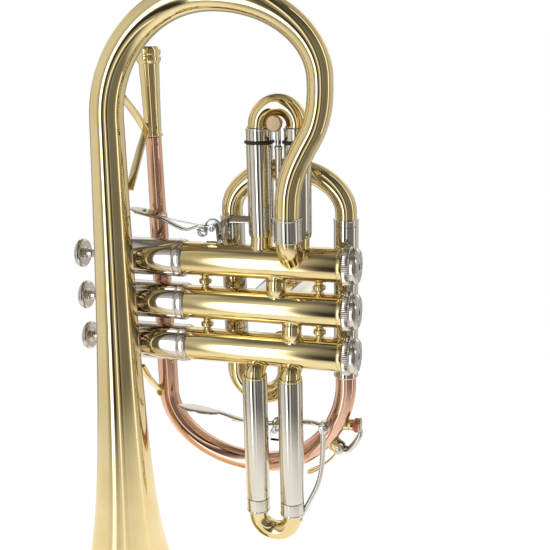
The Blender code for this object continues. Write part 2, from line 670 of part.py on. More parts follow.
def third_trigger():
    """The finger lever under the third valve and the bracket between the slide's outer tubes."""
    x, z = TRIGGER_3
    metal = "nickel_silver"
    post = hinge_pin("trigger3_post", TRIGGER_3, (2.8, 10.6))
    foot = block("trigger3_foot", (x - 2.6, -3.0, z - 6.5), (x + 2.6, 4.1, z + 3.0), metal)
    far = block("trigger3_far_ear", (x - 2.0, 9.2, z - 6.5), (x + 2.0, 10.6, z + 2.4), metal)
    tie = block("trigger3_tie", (x - 2.0, 2.8, z - 6.5), (x + 2.0, 10.6, z - 4.4), metal)
    fuse(post, foot, far, tie)

    origin = at(x, 0, z)
    lever = hinge_barrel("trigger3_lever", TRIGGER_3, (4.5, 8.8))
    arm_points = [(-61.0, -66.4), (-48.0, -67.6), (-36.0, -69.2), (-24.0, -72.2), (-12.0, -72.8),
                  (x - 1.6, z - 0.6)]
    arm = strap("trigger3_arm", placed([(px, 6.6, pz) for px, pz in arm_points]), 4.2, 1.8, metal, origin)
    pad_points = [(-62.0, -65.8), (-50.0, -66.8), (-38.0, -68.2)]
    pad = strap("trigger3_pad", placed([(px, 4.3, pz) for px, pz in pad_points]), 13.0, 1.6, metal, origin)
    end_x, end_z = x + TRIGGER_3_REACH, z + 1.2
    beam_points = [(x + 1.6, z + 0.6), (x + 10.0, z + 2.0), (x + 18.0, z + 2.8), (end_x - 1.5, end_z + 0.6)]
    beam = strap("trigger3_beam", placed([(px, 6.4, pz) for px, pz in beam_points]), 4.0, 2.6, metal, origin)
    eye = rod("trigger3_eye", placed([(end_x, 4.4, end_z), (end_x, 8.4, end_z)]), 3.2, metal,
              across=(0, 0, 1))
    fuse(lever, arm, pad, beam, eye)


def water_key(bow_cutter):
    """The saddle on the front bow and the lever whose cork closes the nipple."""
    x, z = WATER_KEY_HINGE
    y = SLIDE_LINE_Y
    metal = "nickel_silver"
    saddle = hinge_pin("water_key_saddle", WATER_KEY_HINGE, (y - 4.2, y + 4.2))
    bow_x, bow_z = x - 8.1, z + 6.2
    for side, ear_y in (("near", y - 3.4), ("far", y + 3.4)):
        ear = rod(f"water_key_{side}_ear", placed([(bow_x, ear_y, bow_z), (x, ear_y, z)]), 1.7, metal,
                  sides=10)
        fuse(saddle, ear)
    cut(saddle, bow_cutter)

    origin = at(x, 0, z)
    lever = hinge_barrel("water_key_lever", WATER_KEY_HINGE, (y - 1.4, y + 1.4))
    arm_points = [(x + 1.4, z - 1.2), (x + 5.5, z - 0.6), (x + 9.6, z + 4.6), (43.0, -77.4), (43.0, -70.0)]
    arm = strap("water_key_arm", placed([(px, y, pz) for px, pz in arm_points]), 2.6, 1.4, metal, origin)
    thumb_points = [(x - 0.8, z - 1.5), (x - 4.4, z - 7.4), (x - 11.0, z - 13.6), (x - 18.0, z - 17.6)]
    thumb = strap("water_key_thumb", placed([(px, y, pz) for px, pz in thumb_points]), 2.6, 1.4, metal,
                  origin)
    pad = block("water_key_pad", (x - 19.0, y - 4.0, z - 18.8), (x - 9.0, y + 4.0, z - 17.2), metal,
                tilt=20.0)
    cork = rod("water_key_cork", placed([(NIPPLE_END_X + 0.5, y, NIPPLE_Z), (42.9, y, NIPPLE_Z)]), 4.0,
               metal, across=(0, 0, 1))
    fuse(lever, arm, thumb, pad, cork)


def build():
    clear_scene()
    bell_cutter = bell()
    crook_cutter = crook()
    casing_cutters = valves()
    port = placed([(FIRST_SLIDE[0] + SLIDE_GAUGE / 2, FIRST_SLIDE[1] - 0.8, z) for z in (24, 44)])
    port_cutter = as_helper(rod("port_cutter", port, PORT_R + 2 * GAP, "lacquered_brass"))
    bell_tail(casing_cutters[0], port_cutter)
    for upper in (1, 2):
        pair = casing_cutters[upper - 1:upper + 1]
        casing_spacer(f"spacer_front_{upper}{upper + 1}", -39.6, upper, pair)
        casing_spacer(f"spacer_back_{upper}{upper + 1}", 24.0, upper, pair)
    crossover("crossover_12", 1.2, 1, casing_cutters[:2])
    crossover("crossover_23", 9.4, 2, casing_cutters[1:])
    first_slide(casing_cutters[0])
    second_slide(casing_cutters[1])
    third_slide(casing_cutters[2])
    main_tuning_slide()
    return_bow(casing_cutters[2])
    leadpipe()
    bow_cutter = front_bow()
    braces(bell_cutter, crook_cutter, bow_cutter)
    first_trigger(casing_cutters[0])
    third_trigger()
    water_key(bow_cutter)


if __name__ == "__main__":
    build()
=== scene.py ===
import json
import math

import bmesh
import bpy
from bpy.props import FloatProperty, FloatVectorProperty, IntProperty, PointerProperty
from mathutils import Matrix, Vector

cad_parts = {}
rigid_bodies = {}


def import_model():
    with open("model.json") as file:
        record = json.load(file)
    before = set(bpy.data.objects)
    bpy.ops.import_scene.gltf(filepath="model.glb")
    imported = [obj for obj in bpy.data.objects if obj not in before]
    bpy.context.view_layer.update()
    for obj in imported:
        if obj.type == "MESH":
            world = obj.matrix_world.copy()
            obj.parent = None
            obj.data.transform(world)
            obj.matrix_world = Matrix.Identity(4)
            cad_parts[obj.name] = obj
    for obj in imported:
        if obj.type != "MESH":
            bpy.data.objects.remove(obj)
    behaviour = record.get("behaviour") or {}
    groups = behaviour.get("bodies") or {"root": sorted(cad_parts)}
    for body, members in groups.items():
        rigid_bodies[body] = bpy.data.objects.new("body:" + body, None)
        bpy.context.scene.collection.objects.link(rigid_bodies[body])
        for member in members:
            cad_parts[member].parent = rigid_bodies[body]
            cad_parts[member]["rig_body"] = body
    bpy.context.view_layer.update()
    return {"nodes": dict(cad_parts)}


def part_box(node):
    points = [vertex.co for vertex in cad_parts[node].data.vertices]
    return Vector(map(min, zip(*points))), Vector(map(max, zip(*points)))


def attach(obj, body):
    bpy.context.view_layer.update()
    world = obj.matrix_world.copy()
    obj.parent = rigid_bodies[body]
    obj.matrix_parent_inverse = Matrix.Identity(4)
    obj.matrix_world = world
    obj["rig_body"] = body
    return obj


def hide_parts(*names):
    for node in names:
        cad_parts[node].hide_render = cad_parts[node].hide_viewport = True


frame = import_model()

bl_info = {
    "name": "Short-model cornet",
    "version": (1, 0, 0),
    "blender": (4, 5, 0),
    "location": "3D View > Sidebar > Cornet",
    "description": "Builds the finished metalwork of a short-model cornet round its fixed parts",
    "category": "Object",
}

MM = 0.001
FINISH_PREFIX = "cornet_"
SMOOTH_ANGLE = 34.0

# Places are in millimetres from the second valve's axis at its ports; its casing ends 37 mm further on.
CASING_END = 37.0
_low, _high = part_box("valve_casing_2")
ORIGIN = Vector((_high.x - CASING_END * MM, (_low.y + _high.y) / 2, (_low.z + _high.z) / 2))


def at(x, y, z):
    """A place in metres in the frame."""
    return ORIGIN + Vector((x, y, z)) * MM


def span(node):
    """Lowest and highest corner of a fixed part, in millimetres from the second valve."""
    low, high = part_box(node)
    return (low - ORIGIN) / MM, (high - ORIGIN) / MM


def middle(node):
    low, high = span(node)
    return (low + high) / 2


def places(points):
    return [at(*point) for point in points]


def body_of(node):
    return frame["nodes"][node]["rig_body"]


# ---------------------------------------------------------------- settings


def colour(name, description, default):
    return FloatVectorProperty(
        name=name, description=description, default=default, subtype="COLOR", size=3, min=0.0, max=1.0
    )


def share(name, description, default):
    return FloatProperty(name=name, description=description, default=default, min=0.0, max=1.0,
                         subtype="FACTOR")


def length(name, description, default):
    return FloatProperty(name=name, description=description, default=default, min=0.0, unit="LENGTH")


class CornetFinishes(bpy.types.PropertyGroup):
    brass: colour("Brass", "Yellow brass under clear lacquer", (0.81, 0.67, 0.36))
    brass_deep: colour("Deep brass", "Brass where the lacquer is thicker", (0.71, 0.50, 0.19))
    rose: colour("Rose brass", "Copper-rich brass of the leadpipe and front bow", (0.81, 0.50, 0.37))
    rose_deep: colour("Deep rose", "Rose brass where the lacquer is thicker", (0.68, 0.36, 0.24))
    nickel: colour("Nickel silver", "Slide tubes and ferrules", (0.70, 0.66, 0.58))
    nickel_deep: colour("Nickel silver shade", "Nickel silver where it has been handled", (0.58, 0.53, 0.44))
    worn: colour("Worn nickel", "Levers dulled by the hand", (0.50, 0.45, 0.35))
    plate: colour("Nickel plate", "Bright plate on caps and buttons", (0.66, 0.62, 0.57))
    plate_deep: colour("Plate shade", "Plate where it has been handled", (0.54, 0.48, 0.40))
    steel: colour("Steel", "Pistons, springs and screws", (0.60, 0.60, 0.60))
    knob: colour("Knob", "Brushed end of the first slide's knob", (0.58, 0.40, 0.23))
    rubber: colour("Rubber", "Black rings of the first slide", (0.012, 0.012, 0.013))
    cork: colour("Cork", "Red stopper of the water key", (0.60, 0.10, 0.035))
    felt: colour("Felt", "Washers under the finger buttons", (0.75, 0.73, 0.68))
    nacre: colour("Nacre", "Inlays of the finger buttons", (0.86, 0.86, 0.84))
    gloss: share("Gloss", "Roughness of polished metal", 0.05)
    tarnish: share("Tarnish", "How much the metal's colour varies", 0.38)


class CornetSizes(bpy.types.PropertyGroup):
    tube_sides: IntProperty(name="Tube sides", description="Flats round a tube", default=48, min=12)
    spun_sides: IntProperty(name="Bell sides", description="Flats round the bell", default=96, min=24)
    knurl_teeth: IntProperty(name="Knurl teeth", description="Teeth round a cap", default=64, min=12)
    knurl_depth: length("Knurl depth", "Depth of the caps' knurling", 0.00024)
    wire: length("Spring wire", "Radius of the lever springs' wire", 0.00038)
    rim_bead: length("Rim bead", "Radius of the bell's rolled rim", 0.0012)
    sheet: length("Sheet", "Wall of the bell and bows", 0.0006)
    solder: length("Solder fillet", "Width of the solder round a joint", 0.0006)
    ease: length("Eased edge", "Rounding of turned edges", 0.00022)


class CornetStage(bpy.types.PropertyGroup):
    floor: colour("Floor", "Pale floor", (0.93, 0.93, 0.93))
    floor_radius: length("Floor radius", "Where the floor has faded out", 0.46)
    key: FloatProperty(name="Key light", description="Strength of the tall light at the left", default=3.0)
    top: FloatProperty(name="Top light", description="Strength of the light overhead", default=0.12)
    room: FloatProperty(name="Room", description="Brightness of the room", default=0.38)
    lens: FloatProperty(name="Lens", description="Focal length", default=51.96, unit="CAMERA")


def finishes():
    return bpy.context.scene.cornet_finishes


def sizes():
    return bpy.context.scene.cornet_sizes


def stage_settings():
    return bpy.context.scene.cornet_stage


# ---------------------------------------------------------------- shader maths


class Value:
    """A socket in a finish: an expression on it adds the Math nodes that work it out."""

    def __init__(self, recipe, socket):
        self.recipe = recipe
        self.socket = socket

    def math(self, operation, *values):
        return self.recipe.node("ShaderNodeMath", {"operation": operation}, dict(enumerate(values)))

    def __add__(self, other):
        return self.math("ADD", self, other)

    def __radd__(self, other):
        return self.math("ADD", other, self)

    def __sub__(self, other):
        return self.math("SUBTRACT", self, other)

    def __rsub__(self, other):
        return self.math("SUBTRACT", other, self)

    def __mul__(self, other):
        return self.math("MULTIPLY", self, other)

    def __rmul__(self, other):
        return self.math("MULTIPLY", other, self)

    def __truediv__(self, other):
        return self.math("DIVIDE", self, other)

    def __abs__(self):
        return self.math("ABSOLUTE", self)

    def dot(self, direction):
        return self.recipe.node(
            "ShaderNodeVectorMath", {"operation": "DOT_PRODUCT"}, {0: self, 1: tuple(direction)}, "Value"
        )

    def eased(self, low, high):
        """0 below low, 1 above high, and smooth between; low may be the larger."""
        settings = {"interpolation_type": "SMOOTHSTEP"}
        sockets = {"Value": self, "From Min": low, "From Max": high}
        return self.recipe.node("ShaderNodeMapRange", settings, sockets)


class Recipe:
    """The node tree of one finish, or of the room's light."""

    def __init__(self, tree):
        self.tree = tree

    def node(self, kind, settings=None, sockets=None, out=0):
        made = self.tree.nodes.new(kind)
        for key, value in (settings or {}).items():
            setattr(made, key, value)
        for key, value in (sockets or {}).items():
            self.put(made.inputs[key], value)
        return Value(self, made.outputs[out])

    def put(self, socket, value):
        if isinstance(value, Value):
            self.tree.links.new(value.socket, socket)
        else:
            socket.default_value = value

    def mix(self, first, second, mask):
        """Colour first where the mask is 0, second where it is 1."""
        pair = [value if isinstance(value, Value) else (*value[:3], 1.0) for value in (first, second)]
        return self.node("ShaderNodeMix", {"data_type": "RGBA"}, {0: mask, 6: pair[0], 7: pair[1]}, 2)

    def place(self):
        return self.node("ShaderNodeTexCoord", out="Object")

    def stretched(self, scale):
        """The place with each direction scaled, so that a pattern runs long one way."""
        return self.node("ShaderNodeVectorMath", {"operation": "MULTIPLY"}, {0: self.place(), 1: scale})

    def noise(self, scale, detail=3.0, roughness=0.5, place=None):
        sockets = {"Scale": scale, "Detail": detail, "Roughness": roughness, "Vector": place or self.place()}
        return self.node("ShaderNodeTexNoise", sockets=sockets)

    def bump(self, height, depth, under=None):
        """A normal whose relief is 'depth' metres where height goes from 0 to 1."""
        sockets = {"Height": height, "Distance": depth, "Strength": 1.0}
        if under:
            sockets["Normal"] = under
        return self.node("ShaderNodeBump", sockets=sockets)


def new_finish(name):
    made = bpy.data.materials.new(FINISH_PREFIX + name)
    made.use_nodes = True
    return made, Recipe(made.node_tree), made.node_tree.nodes["Principled BSDF"].inputs


# Height in metres of the faint waves left in drawn, plated and turned metal, and the lacquer's coat.
DRAWN_WAVE = 0.000012
PLATED_WAVE = 0.000008
TURNED_WAVE = 0.000004
LACQUER = 0.12


def polished(name, bright, deep, gloss, coat, wave, brushed=None):
    """Hand-polished metal: faint waves in the sheet, soft clouds of handling and fine polishing marks."""
    made, recipe, inputs = new_finish(name)
    clouds = recipe.noise(38.0, 4.0, 0.55).eased(0.38, 0.72)
    specks = recipe.noise(900.0, 2.0, 0.6).eased(0.60, 0.78)
    marks = recipe.noise(260.0, 3.0, 0.6, recipe.stretched(brushed or (1.0, 1.0, 1.0)))
    tarnish = finishes().tarnish
    recipe.put(inputs["Base Color"], recipe.mix(bright, deep, clouds * tarnish + specks * (tarnish * 0.25)))
    recipe.put(inputs["Roughness"], clouds * 0.03 + marks * 0.03 + (gloss - 0.02))
    waves = recipe.bump(recipe.noise(95.0, 1.0, 0.4), wave)
    recipe.put(inputs["Normal"], recipe.bump(marks, 0.0000012, waves))
    inputs["Metallic"].default_value = 1.0
    inputs["Coat Weight"].default_value = coat
    inputs["Coat Roughness"].default_value = 0.04
    inputs["Coat IOR"].default_value = 1.45
    return made


def lacquered_brass():
    f = finishes()
    return polished("lacquered_brass", f.brass, f.brass_deep, f.gloss, LACQUER, DRAWN_WAVE)


def rose_brass():
    f = finishes()
    return polished("rose_brass", f.rose, f.rose_deep, f.gloss, LACQUER, DRAWN_WAVE)


def nickel_silver():
    f = finishes()
    return polished("nickel_silver", f.nickel, f.nickel_deep, f.gloss, 0.0, DRAWN_WAVE)


def worn_nickel():
    """The levers, where fingers have dulled and warmed the metal."""
    f = finishes()
    return polished("worn_nickel", f.worn, [c * 0.7 for c in f.worn], 0.16, 0.0, DRAWN_WAVE)


def bright_plate():
    f = finishes()
    return polished("bright_plate", f.plate, f.plate_deep, f.gloss, 0.0, PLATED_WAVE)


def spring_steel():
    f = finishes()
    return polished("spring_steel", f.steel, [c * 0.7 for c in f.steel], 0.2, 0.0, TURNED_WAVE)


def lapped_steel():
    f = finishes()
    deep = [c * 0.8 for c in f.steel]
    return polished("lapped_steel", f.steel, deep, 0.24, 0.0, TURNED_WAVE, (9.0, 1.0, 1.0))


def brushed_knob():
    """The flat end of the knob, turned and left satin."""
    f = finishes()
    deep = [c * 0.8 for c in f.knob]
    return polished("brushed_knob", f.knob, deep, 0.42, 0.1, TURNED_WAVE, (6.0, 1.0, 1.0))


def black_rubber():
    made, recipe, inputs = new_finish("black_rubber")
    grain = recipe.noise(1600.0, 3.0, 0.6)
    dusty = [c + 0.03 for c in finishes().rubber]
    recipe.put(inputs["Base Color"], recipe.mix(finishes().rubber, dusty, grain.eased(0.45, 0.75)))
    recipe.put(inputs["Roughness"], grain * 0.2 + 0.45)
    recipe.put(inputs["Normal"], recipe.bump(grain, 0.00001))
    return made


def red_cork():
    made, recipe, inputs = new_finish("red_cork")
    grain = recipe.noise(1300.0, 4.0, 0.65)
    pits = recipe.node("ShaderNodeTexVoronoi", {"feature": "F1"}, {"Scale": 900.0, "Vector": recipe.place()})
    holes = pits.eased(0.22, 0.05)
    pale = [min(c * 1.8 + 0.05, 1.0) for c in finishes().cork]
    tone = recipe.mix(finishes().cork, pale, grain.eased(0.4, 0.8))
    recipe.put(inputs["Base Color"], recipe.mix(tone, (0.10, 0.02, 0.01), holes * 0.7))
    recipe.put(inputs["Roughness"], grain * 0.2 + 0.6)
    recipe.put(inputs["Normal"], recipe.bump(grain - holes, 0.00008))
    return made


def wool_felt():
    made, recipe, inputs = new_finish("wool_felt")
    fibres = recipe.noise(2600.0, 5.0, 0.75)
    shade = [c * 0.6 for c in finishes().felt]
    recipe.put(inputs["Base Color"], recipe.mix(shade, finishes().felt, fibres.eased(0.3, 0.7)))
    recipe.put(inputs["Normal"], recipe.bump(fibres, 0.0001))
    inputs["Roughness"].default_value = 0.95
    inputs["Sheen Weight"].default_value = 0.4
    return made


def nacre():
    """Mother-of-pearl, with cloudy bands of pink and green."""
    made, recipe, inputs = new_finish("nacre")
    bands = recipe.noise(300.0, 2.0, 0.5, recipe.stretched((1.0, 1.0, 2.5)))
    base = finishes().nacre
    pink = recipe.mix(base, (0.86, 0.70, 0.74), bands.eased(0.52, 0.68))
    recipe.put(inputs["Base Color"], recipe.mix(pink, (0.68, 0.82, 0.76), bands.eased(0.46, 0.32) * 0.7))
    recipe.put(inputs["Roughness"], bands * 0.12 + 0.16)
    inputs["Coat Weight"].default_value = 0.8
    inputs["Coat Roughness"].default_value = 0.05
    return made


FINISH_MAKERS = (
    lacquered_brass, rose_brass, nickel_silver, worn_nickel, bright_plate, spring_steel, lapped_steel,
    brushed_knob, black_rubber, red_cork, wool_felt, nacre,
)


def finish(name):
    """The finish of that name; the fixed parts bring plain materials, so it has its own prefix."""
    return bpy.data.materials[FINISH_PREFIX + name]


# ---------------------------------------------------------------- mesh work


def eased(outline, ease=None, closed=True):
    """The outline with each corner turned into a small round."""
    ease = (sizes().ease / MM) if ease is None else ease
    points = [Vector(point) for point in outline]
    count = len(points)
    made = []
    for i, corner in enumerate(points):
        if not closed and i in (0, count - 1):
            made.append(corner)
            continue
        back = points[i - 1] - corner
        ahead = points[(i + 1) % count] - corner
        reach = min(ease, back.length * 0.45, ahead.length * 0.45)
        start, end = corner + back.normalized() * reach, corner + ahead.normalized() * reach
        for t in (0.0, 0.3, 0.7, 1.0):
            made.append(start * (1 - t) ** 2 + corner * 2 * t * (1 - t) + end * t * t)
    return [tuple(point) for point in made]


def curve_through(points, steps):
    """Catmull-Rom curve through points given in millimetres, as places."""
    fixed = places(points)
    padded = [2 * fixed[0] - fixed[1], *fixed, 2 * fixed[-1] - fixed[-2]]
    made = []
    for a, b, c, d in zip(padded, padded[1:], padded[2:], padded[3:]):
        for i in range(steps):
            t = i / steps
            made.append(0.5 * (2 * b + (c - a) * t + (2 * a - 5 * b + 4 * c - d) * t**2
                               + (3 * b - a - 3 * c + d) * t**3))
    return made + [fixed[-1]]


def quarter(start, end, leaves_along_z, steps):
    """Quarter of an ellipse in the XZ plane; Y runs evenly from start to end."""
    made = []
    for i in range(steps + 1):
        turn = math.pi / 2 * i / steps
        rise, run = math.sin(turn), 1 - math.cos(turn)
        share_x, share_z = (run, rise) if leaves_along_z else (rise, run)
        made.append((start[0] + (end[0] - start[0]) * share_x, start[1] + (end[1] - start[1]) * i / steps,
                     start[2] + (end[2] - start[2]) * share_z))
    return made


def arch(left, top, right, steps):
    return quarter(left, top, True, steps) + quarter(top, right, False, steps)[1:]


def several(value, count):
    return [value] * count if isinstance(value, (int, float)) else list(value)


def frames_along(path, across):
    """Point, tangent and two side directions along a path, carried without twist."""
    made = []
    side = Vector(across)
    for i, point in enumerate(path):
        tangent = (path[min(i + 1, len(path) - 1)] - path[max(i - 1, 0)]).normalized()
        side = (side - side.dot(tangent) * tangent).normalized()
        made.append((point, tangent, side, tangent.cross(side)))
    return made


def circle(point, side, up, radius, sides, teeth=0, depth=0.0):
    made = []
    for k in range(sides):
        turn = 2 * math.pi * k / sides
        r = radius - depth * (0.5 + 0.5 * math.cos(teeth * turn)) if teeth else radius
        made.append(point + r * MM * (math.cos(turn) * side + math.sin(turn) * up))
    return made


class Shells:
    """Closed shells gathered into one piece; each face keeps the finish that it was made with."""

    def __init__(self):
        self.mesh = bmesh.new()
        self.finishes = []

    def number(self, name):
        if name not in self.finishes:
            self.finishes.append(name)
        return self.finishes.index(name)

    def skin(self, rings, name, loop=False):
        """Joins rings of places into a closed shell, with a flat face over each end unless it is a loop."""
        number = self.number(name)
        rows = [[self.mesh.verts.new(place) for place in ring] for ring in rings]
        count = len(rows[0])
        pairs = list(zip(rows, rows[1:])) + ([(rows[-1], rows[0])] if loop else [])
        for first, second in pairs:
            for k in range(count):
                after = (k + 1) % count
                face = self.mesh.faces.new((first[k], first[after], second[after], second[k]))
                face.material_index = number
        if not loop:
            for row in (rows[0], rows[-1]):
                self.mesh.faces.new(row).material_index = number

    def sweep(self, path, radii, name, wall=None, sides=None, across=(0, 1, 0), landing=None):
        """A round bar or, with a wall in millimetres, a pipe; landing shapes its end to a valve casing."""
        sides = sides or sizes().tube_sides
        radii = several(radii, len(path))
        trail = frames_along(path, across)
        rings = [circle(p, s, u, r, sides) for (p, _, s, u), r in zip(trail, radii)]
        if landing:
            rings += landed(trail[-1], radii[-1], landing, sides)
        if wall is None:
            self.skin(rings, name)
            return
        inner = [circle(p, s, u, r - wall, sides) for (p, _, s, u), r in zip(trail, radii)]
        self.skin(rings + inner[::-1], name, loop=True)

    def turned(self, outline, start, direction, name, sides=None, ease=None, teeth=0, knurled=None):
        """A ring turned about a line from a closed outline of (distance along, radius) in millimetres."""
        sides = sides or (teeth * 4 if teeth else sizes().tube_sides)
        along = Vector(direction).normalized()
        across = Vector((0, 1, 0)) if abs(along.y) < 0.5 else Vector((1, 0, 0))
        up = along.cross(across)
        depth = sizes().knurl_depth / MM
        rings = []
        for distance, radius in eased(outline, ease):
            toothed = teeth if knurled and radius >= knurled else 0
            rings.append(circle(start + distance * MM * along, across, up, radius, sides, toothed, depth))
        self.skin(rings, name, loop=True)

    def spun(self, outline, start, direction, name, sides=None, ease=None):
        """A solid turned about a line from an open outline that starts and ends near the axis."""
        along = Vector(direction).normalized()
        across = Vector((0, 1, 0)) if abs(along.y) < 0.5 else Vector((1, 0, 0))
        up = along.cross(across)
        sides = sides or sizes().tube_sides
        rings = [circle(start + d * MM * along, across, up, r, sides)
                 for d, r in eased(outline, ease, closed=False)]
        self.skin(rings, name)

    def sleeve(self, start, direction, long, outer, inner, name, beads=(), bead=0.28, ease=None):
        """A plain ring of tube with raised beads at the given distances."""
        outline = [(0, inner), (0, outer)]
        for place in beads:
            outline += [(place - 0.55, outer), (place - 0.3, outer + bead), (place + 0.3, outer + bead),
                        (place + 0.55, outer)]
        outline += [(long, outer), (long, inner)]
        self.turned(outline, start, direction, name, ease=ease)

    def strap(self, points, widths, thickness, name, flat=(0, 1, 0), sides=24, squareness=0.45):
        """A flat strip with rounded edges bent along the points; widths in millimetres."""
        widths = several(widths, len(points))
        depths = several(thickness, len(points))
        rings = []
        for (point, tangent, _, _), width, deep in zip(frames_along(points, (0.3, 0.9, 0.1)), widths, depths):
            wide = Vector(flat)
            wide = (wide - wide.dot(tangent) * tangent).normalized()
            thick = tangent.cross(wide)
            ring = []
            for k in range(sides):
                turn = 2 * math.pi * k / sides
                c, s = math.cos(turn), math.sin(turn)
                a = math.copysign(abs(c) ** squareness, c) * width / 2
                b = math.copysign(abs(s) ** squareness, s) * deep / 2
                ring.append(point + (a * wide + b * thick) * MM)
            rings.append(ring)
        self.skin(rings, name)

    def plate(self, outline, y_from, y_to, name, ease=0.25):
        """A plate cut to an outline in the XZ plane and standing between two places in Y."""
        rings = []
        for y, inset in ((y_from, ease), (y_from + ease, 0.0), (y_to - ease, 0.0), (y_to, ease)):
            centre = sum((Vector(p) for p in outline), Vector((0, 0))) / len(outline)
            ring = []
            for p in outline:
                offset = Vector(p) - centre
                scale = (offset.length - inset) / offset.length
                spot = centre + offset * scale
                ring.append(at(spot.x, y, spot.y))
            rings.append(ring)
        self.skin(rings, name)

    def ball(self, centre, radius, name):
        """A solder bead or rounded end."""
        steps = 8
        outline = [(-radius * math.cos(math.pi * i / steps),
                    max(radius * math.sin(math.pi * i / steps), 0.02))
                   for i in range(steps + 1)]
        self.spun(outline, centre, (0, 1, 0), name, sides=20, ease=0.01)

    def screw(self, head, direction, radius, deep, name="spring_steel"):
        """A slotted screw: a low round base with the two halves of its head standing on it."""
        along = Vector(direction).normalized()
        self.spun([(-0.3, 0.05), (-0.3, radius), (deep * 0.45, radius), (deep * 0.45, 0.05)], head, along,
                  name, sides=28, ease=0.08)
        across = Vector((0, 0, 1)) if abs(along.z) < 0.5 else Vector((1, 0, 0))
        up = along.cross(across)
        slot = radius * 0.16
        for sign in (1, -1):
            rim = []
            start = math.asin(slot / radius)
            for i in range(13):
                turn = start + (math.pi - 2 * start) * i / 12
                rim.append((math.cos(turn) * radius * 0.98, sign * math.sin(turn) * radius * 0.98))
            layers = []
            for height, shrink in ((deep * 0.4, 1.0), (deep * 0.85, 1.0), (deep, 0.86)):
                layer = [head + (along * height + across * a * shrink
                                 + up * (sign * slot + (b - sign * slot) * shrink)) * MM for a, b in rim]
                layers.append(layer)
            self.skin(layers, name)


def landed(end, radius, landing, sides):
    """Rings that carry a tube on to a casing and flare into its solder fillet.

    landing is the casing's (Y, Z) axis and radius in millimetres.
    """
    point, direction, side, up = end
    axis_y, axis_z, casing_r = landing
    fillet = sizes().solder / MM
    origin = (point - ORIGIN) / MM
    made = []
    for back, grow in ((1.5, 0.0), (0.85, 0.1), (0.4, 0.3), (0.1, 0.62), (-0.12, 1.0), (-1.2, 1.0)):
        ring = []
        for k in range(sides):
            turn = 2 * math.pi * k / sides
            base = origin + (radius + grow * fillet) * (math.cos(turn) * side + math.sin(turn) * up)
            py, pz = base.y - axis_y, base.z - axis_z
            a = direction.y**2 + direction.z**2
            b = py * direction.y + pz * direction.z
            c = py**2 + pz**2 - casing_r**2
            reach = (-b - math.sqrt(max(b * b - a * c, 0.0))) / a
            ring.append(ORIGIN + (base + direction * (reach - back * fillet)) * MM)
        made.append(ring)
    return made


def piece(name, shells, slot, *nodes):
    """Turns the shells into an object that stands for the nodes and rides on their body."""
    bmesh.ops.recalc_face_normals(shells.mesh, faces=shells.mesh.faces)
    mesh = bpy.data.meshes.new(name)
    shells.mesh.to_mesh(mesh)
    shells.mesh.free()
    for used in shells.finishes:
        mesh.materials.append(finish(used))
    mesh.shade_smooth()
    mesh.set_sharp_from_angle(angle=math.radians(SMOOTH_ANGLE))
    obj = bpy.data.objects.new(name, mesh)
    bpy.context.scene.collection.objects.link(obj)
    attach(obj, body_of(nodes[0]))
    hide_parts(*nodes)


def valve_axis(number):
    centre = middle(f"valve_casing_{number}")
    return centre.y, centre.z


def casing_landing(number):
    """Axis and radius of a casing, for a tube that is soldered to it."""
    low, high = span(f"valve_casing_{number}")
    return (*valve_axis(number), (high.z - low.z) / 2)


def helix(centre, radius, turns, pitch, wire_from, wire_to, steps=22):
    """A coil about a line along Y through the centre, with a straight leg at each end."""
    made = []
    count = int(turns * steps)
    start_turn = math.atan2(wire_from[2] - centre[2], wire_from[0] - centre[0])
    for i in range(count + 1):
        turn = start_turn + 2 * math.pi * i / steps
        made.append((centre[0] + radius * math.cos(turn), centre[1] + pitch * i / steps,
                     centre[2] + radius * math.sin(turn)))
    return places([wire_from, *made, wire_to])


# ---------------------------------------------------------------- bell and crook


# The bell widens as (depth / BELL_FLARE + 1) to the power -BELL_POWER, and leans above BELL_UPRIGHT.
BELL_FLARE = 13.8
BELL_POWER = 0.62
BELL_LEAN = 0.0285
BELL_UPRIGHT = 60.0

# The crook's radius at the bell and at its tail, and how far the tail's S steps back.
CROOK_R = 8.66
TAIL_R = 6.35
TAIL_STEP = 17.2


def build_bell():
    """The spun bell, with its rim rolled over a wire."""
    low, high = span("bell")
    rim_r = (high.y - low.y) / 2
    rim_x, rim_y = low.x + rim_r, (low.y + high.y) / 2
    height = high.z - low.z
    bead = sizes().rim_bead / MM
    wall = sizes().sheet / MM

    def radius(depth):
        return rim_r * (BELL_FLARE / (depth + BELL_FLARE)) ** BELL_POWER

    depths = [height * (i / 90) ** 2.2 for i in range(91)]
    outer = [(depth, radius(depth)) for depth in depths if depth > 1.75]
    inner = [(max(depth, 0.35), min(radius(depth) - wall,
                                    rim_r - 2.0)) for depth in depths[::-1] if depth > 0.4]
    roll = []
    for i in range(13):
        turn = math.radians(-90 + 225 * i / 12)
        roll.append((bead + bead * math.sin(turn), rim_r - bead + bead * math.cos(turn)))
    outline = inner + [(0.08, rim_r - 1.7)] + roll + outer
    sides = sizes().spun_sides
    rings = []
    for depth, r in outline:
        lean = BELL_LEAN * max(depth - BELL_UPRIGHT, 0.0)
        rings.append(circle(at(rim_x + lean, rim_y, low.z + depth), Vector((1, 0, 0)), Vector((0, 1, 0)), r,
                            sides))
    shells = Shells()
    shells.skin(rings, "lacquered_brass", loop=True)
    piece("spun_bell", shells, "lacquered_brass", "bell")


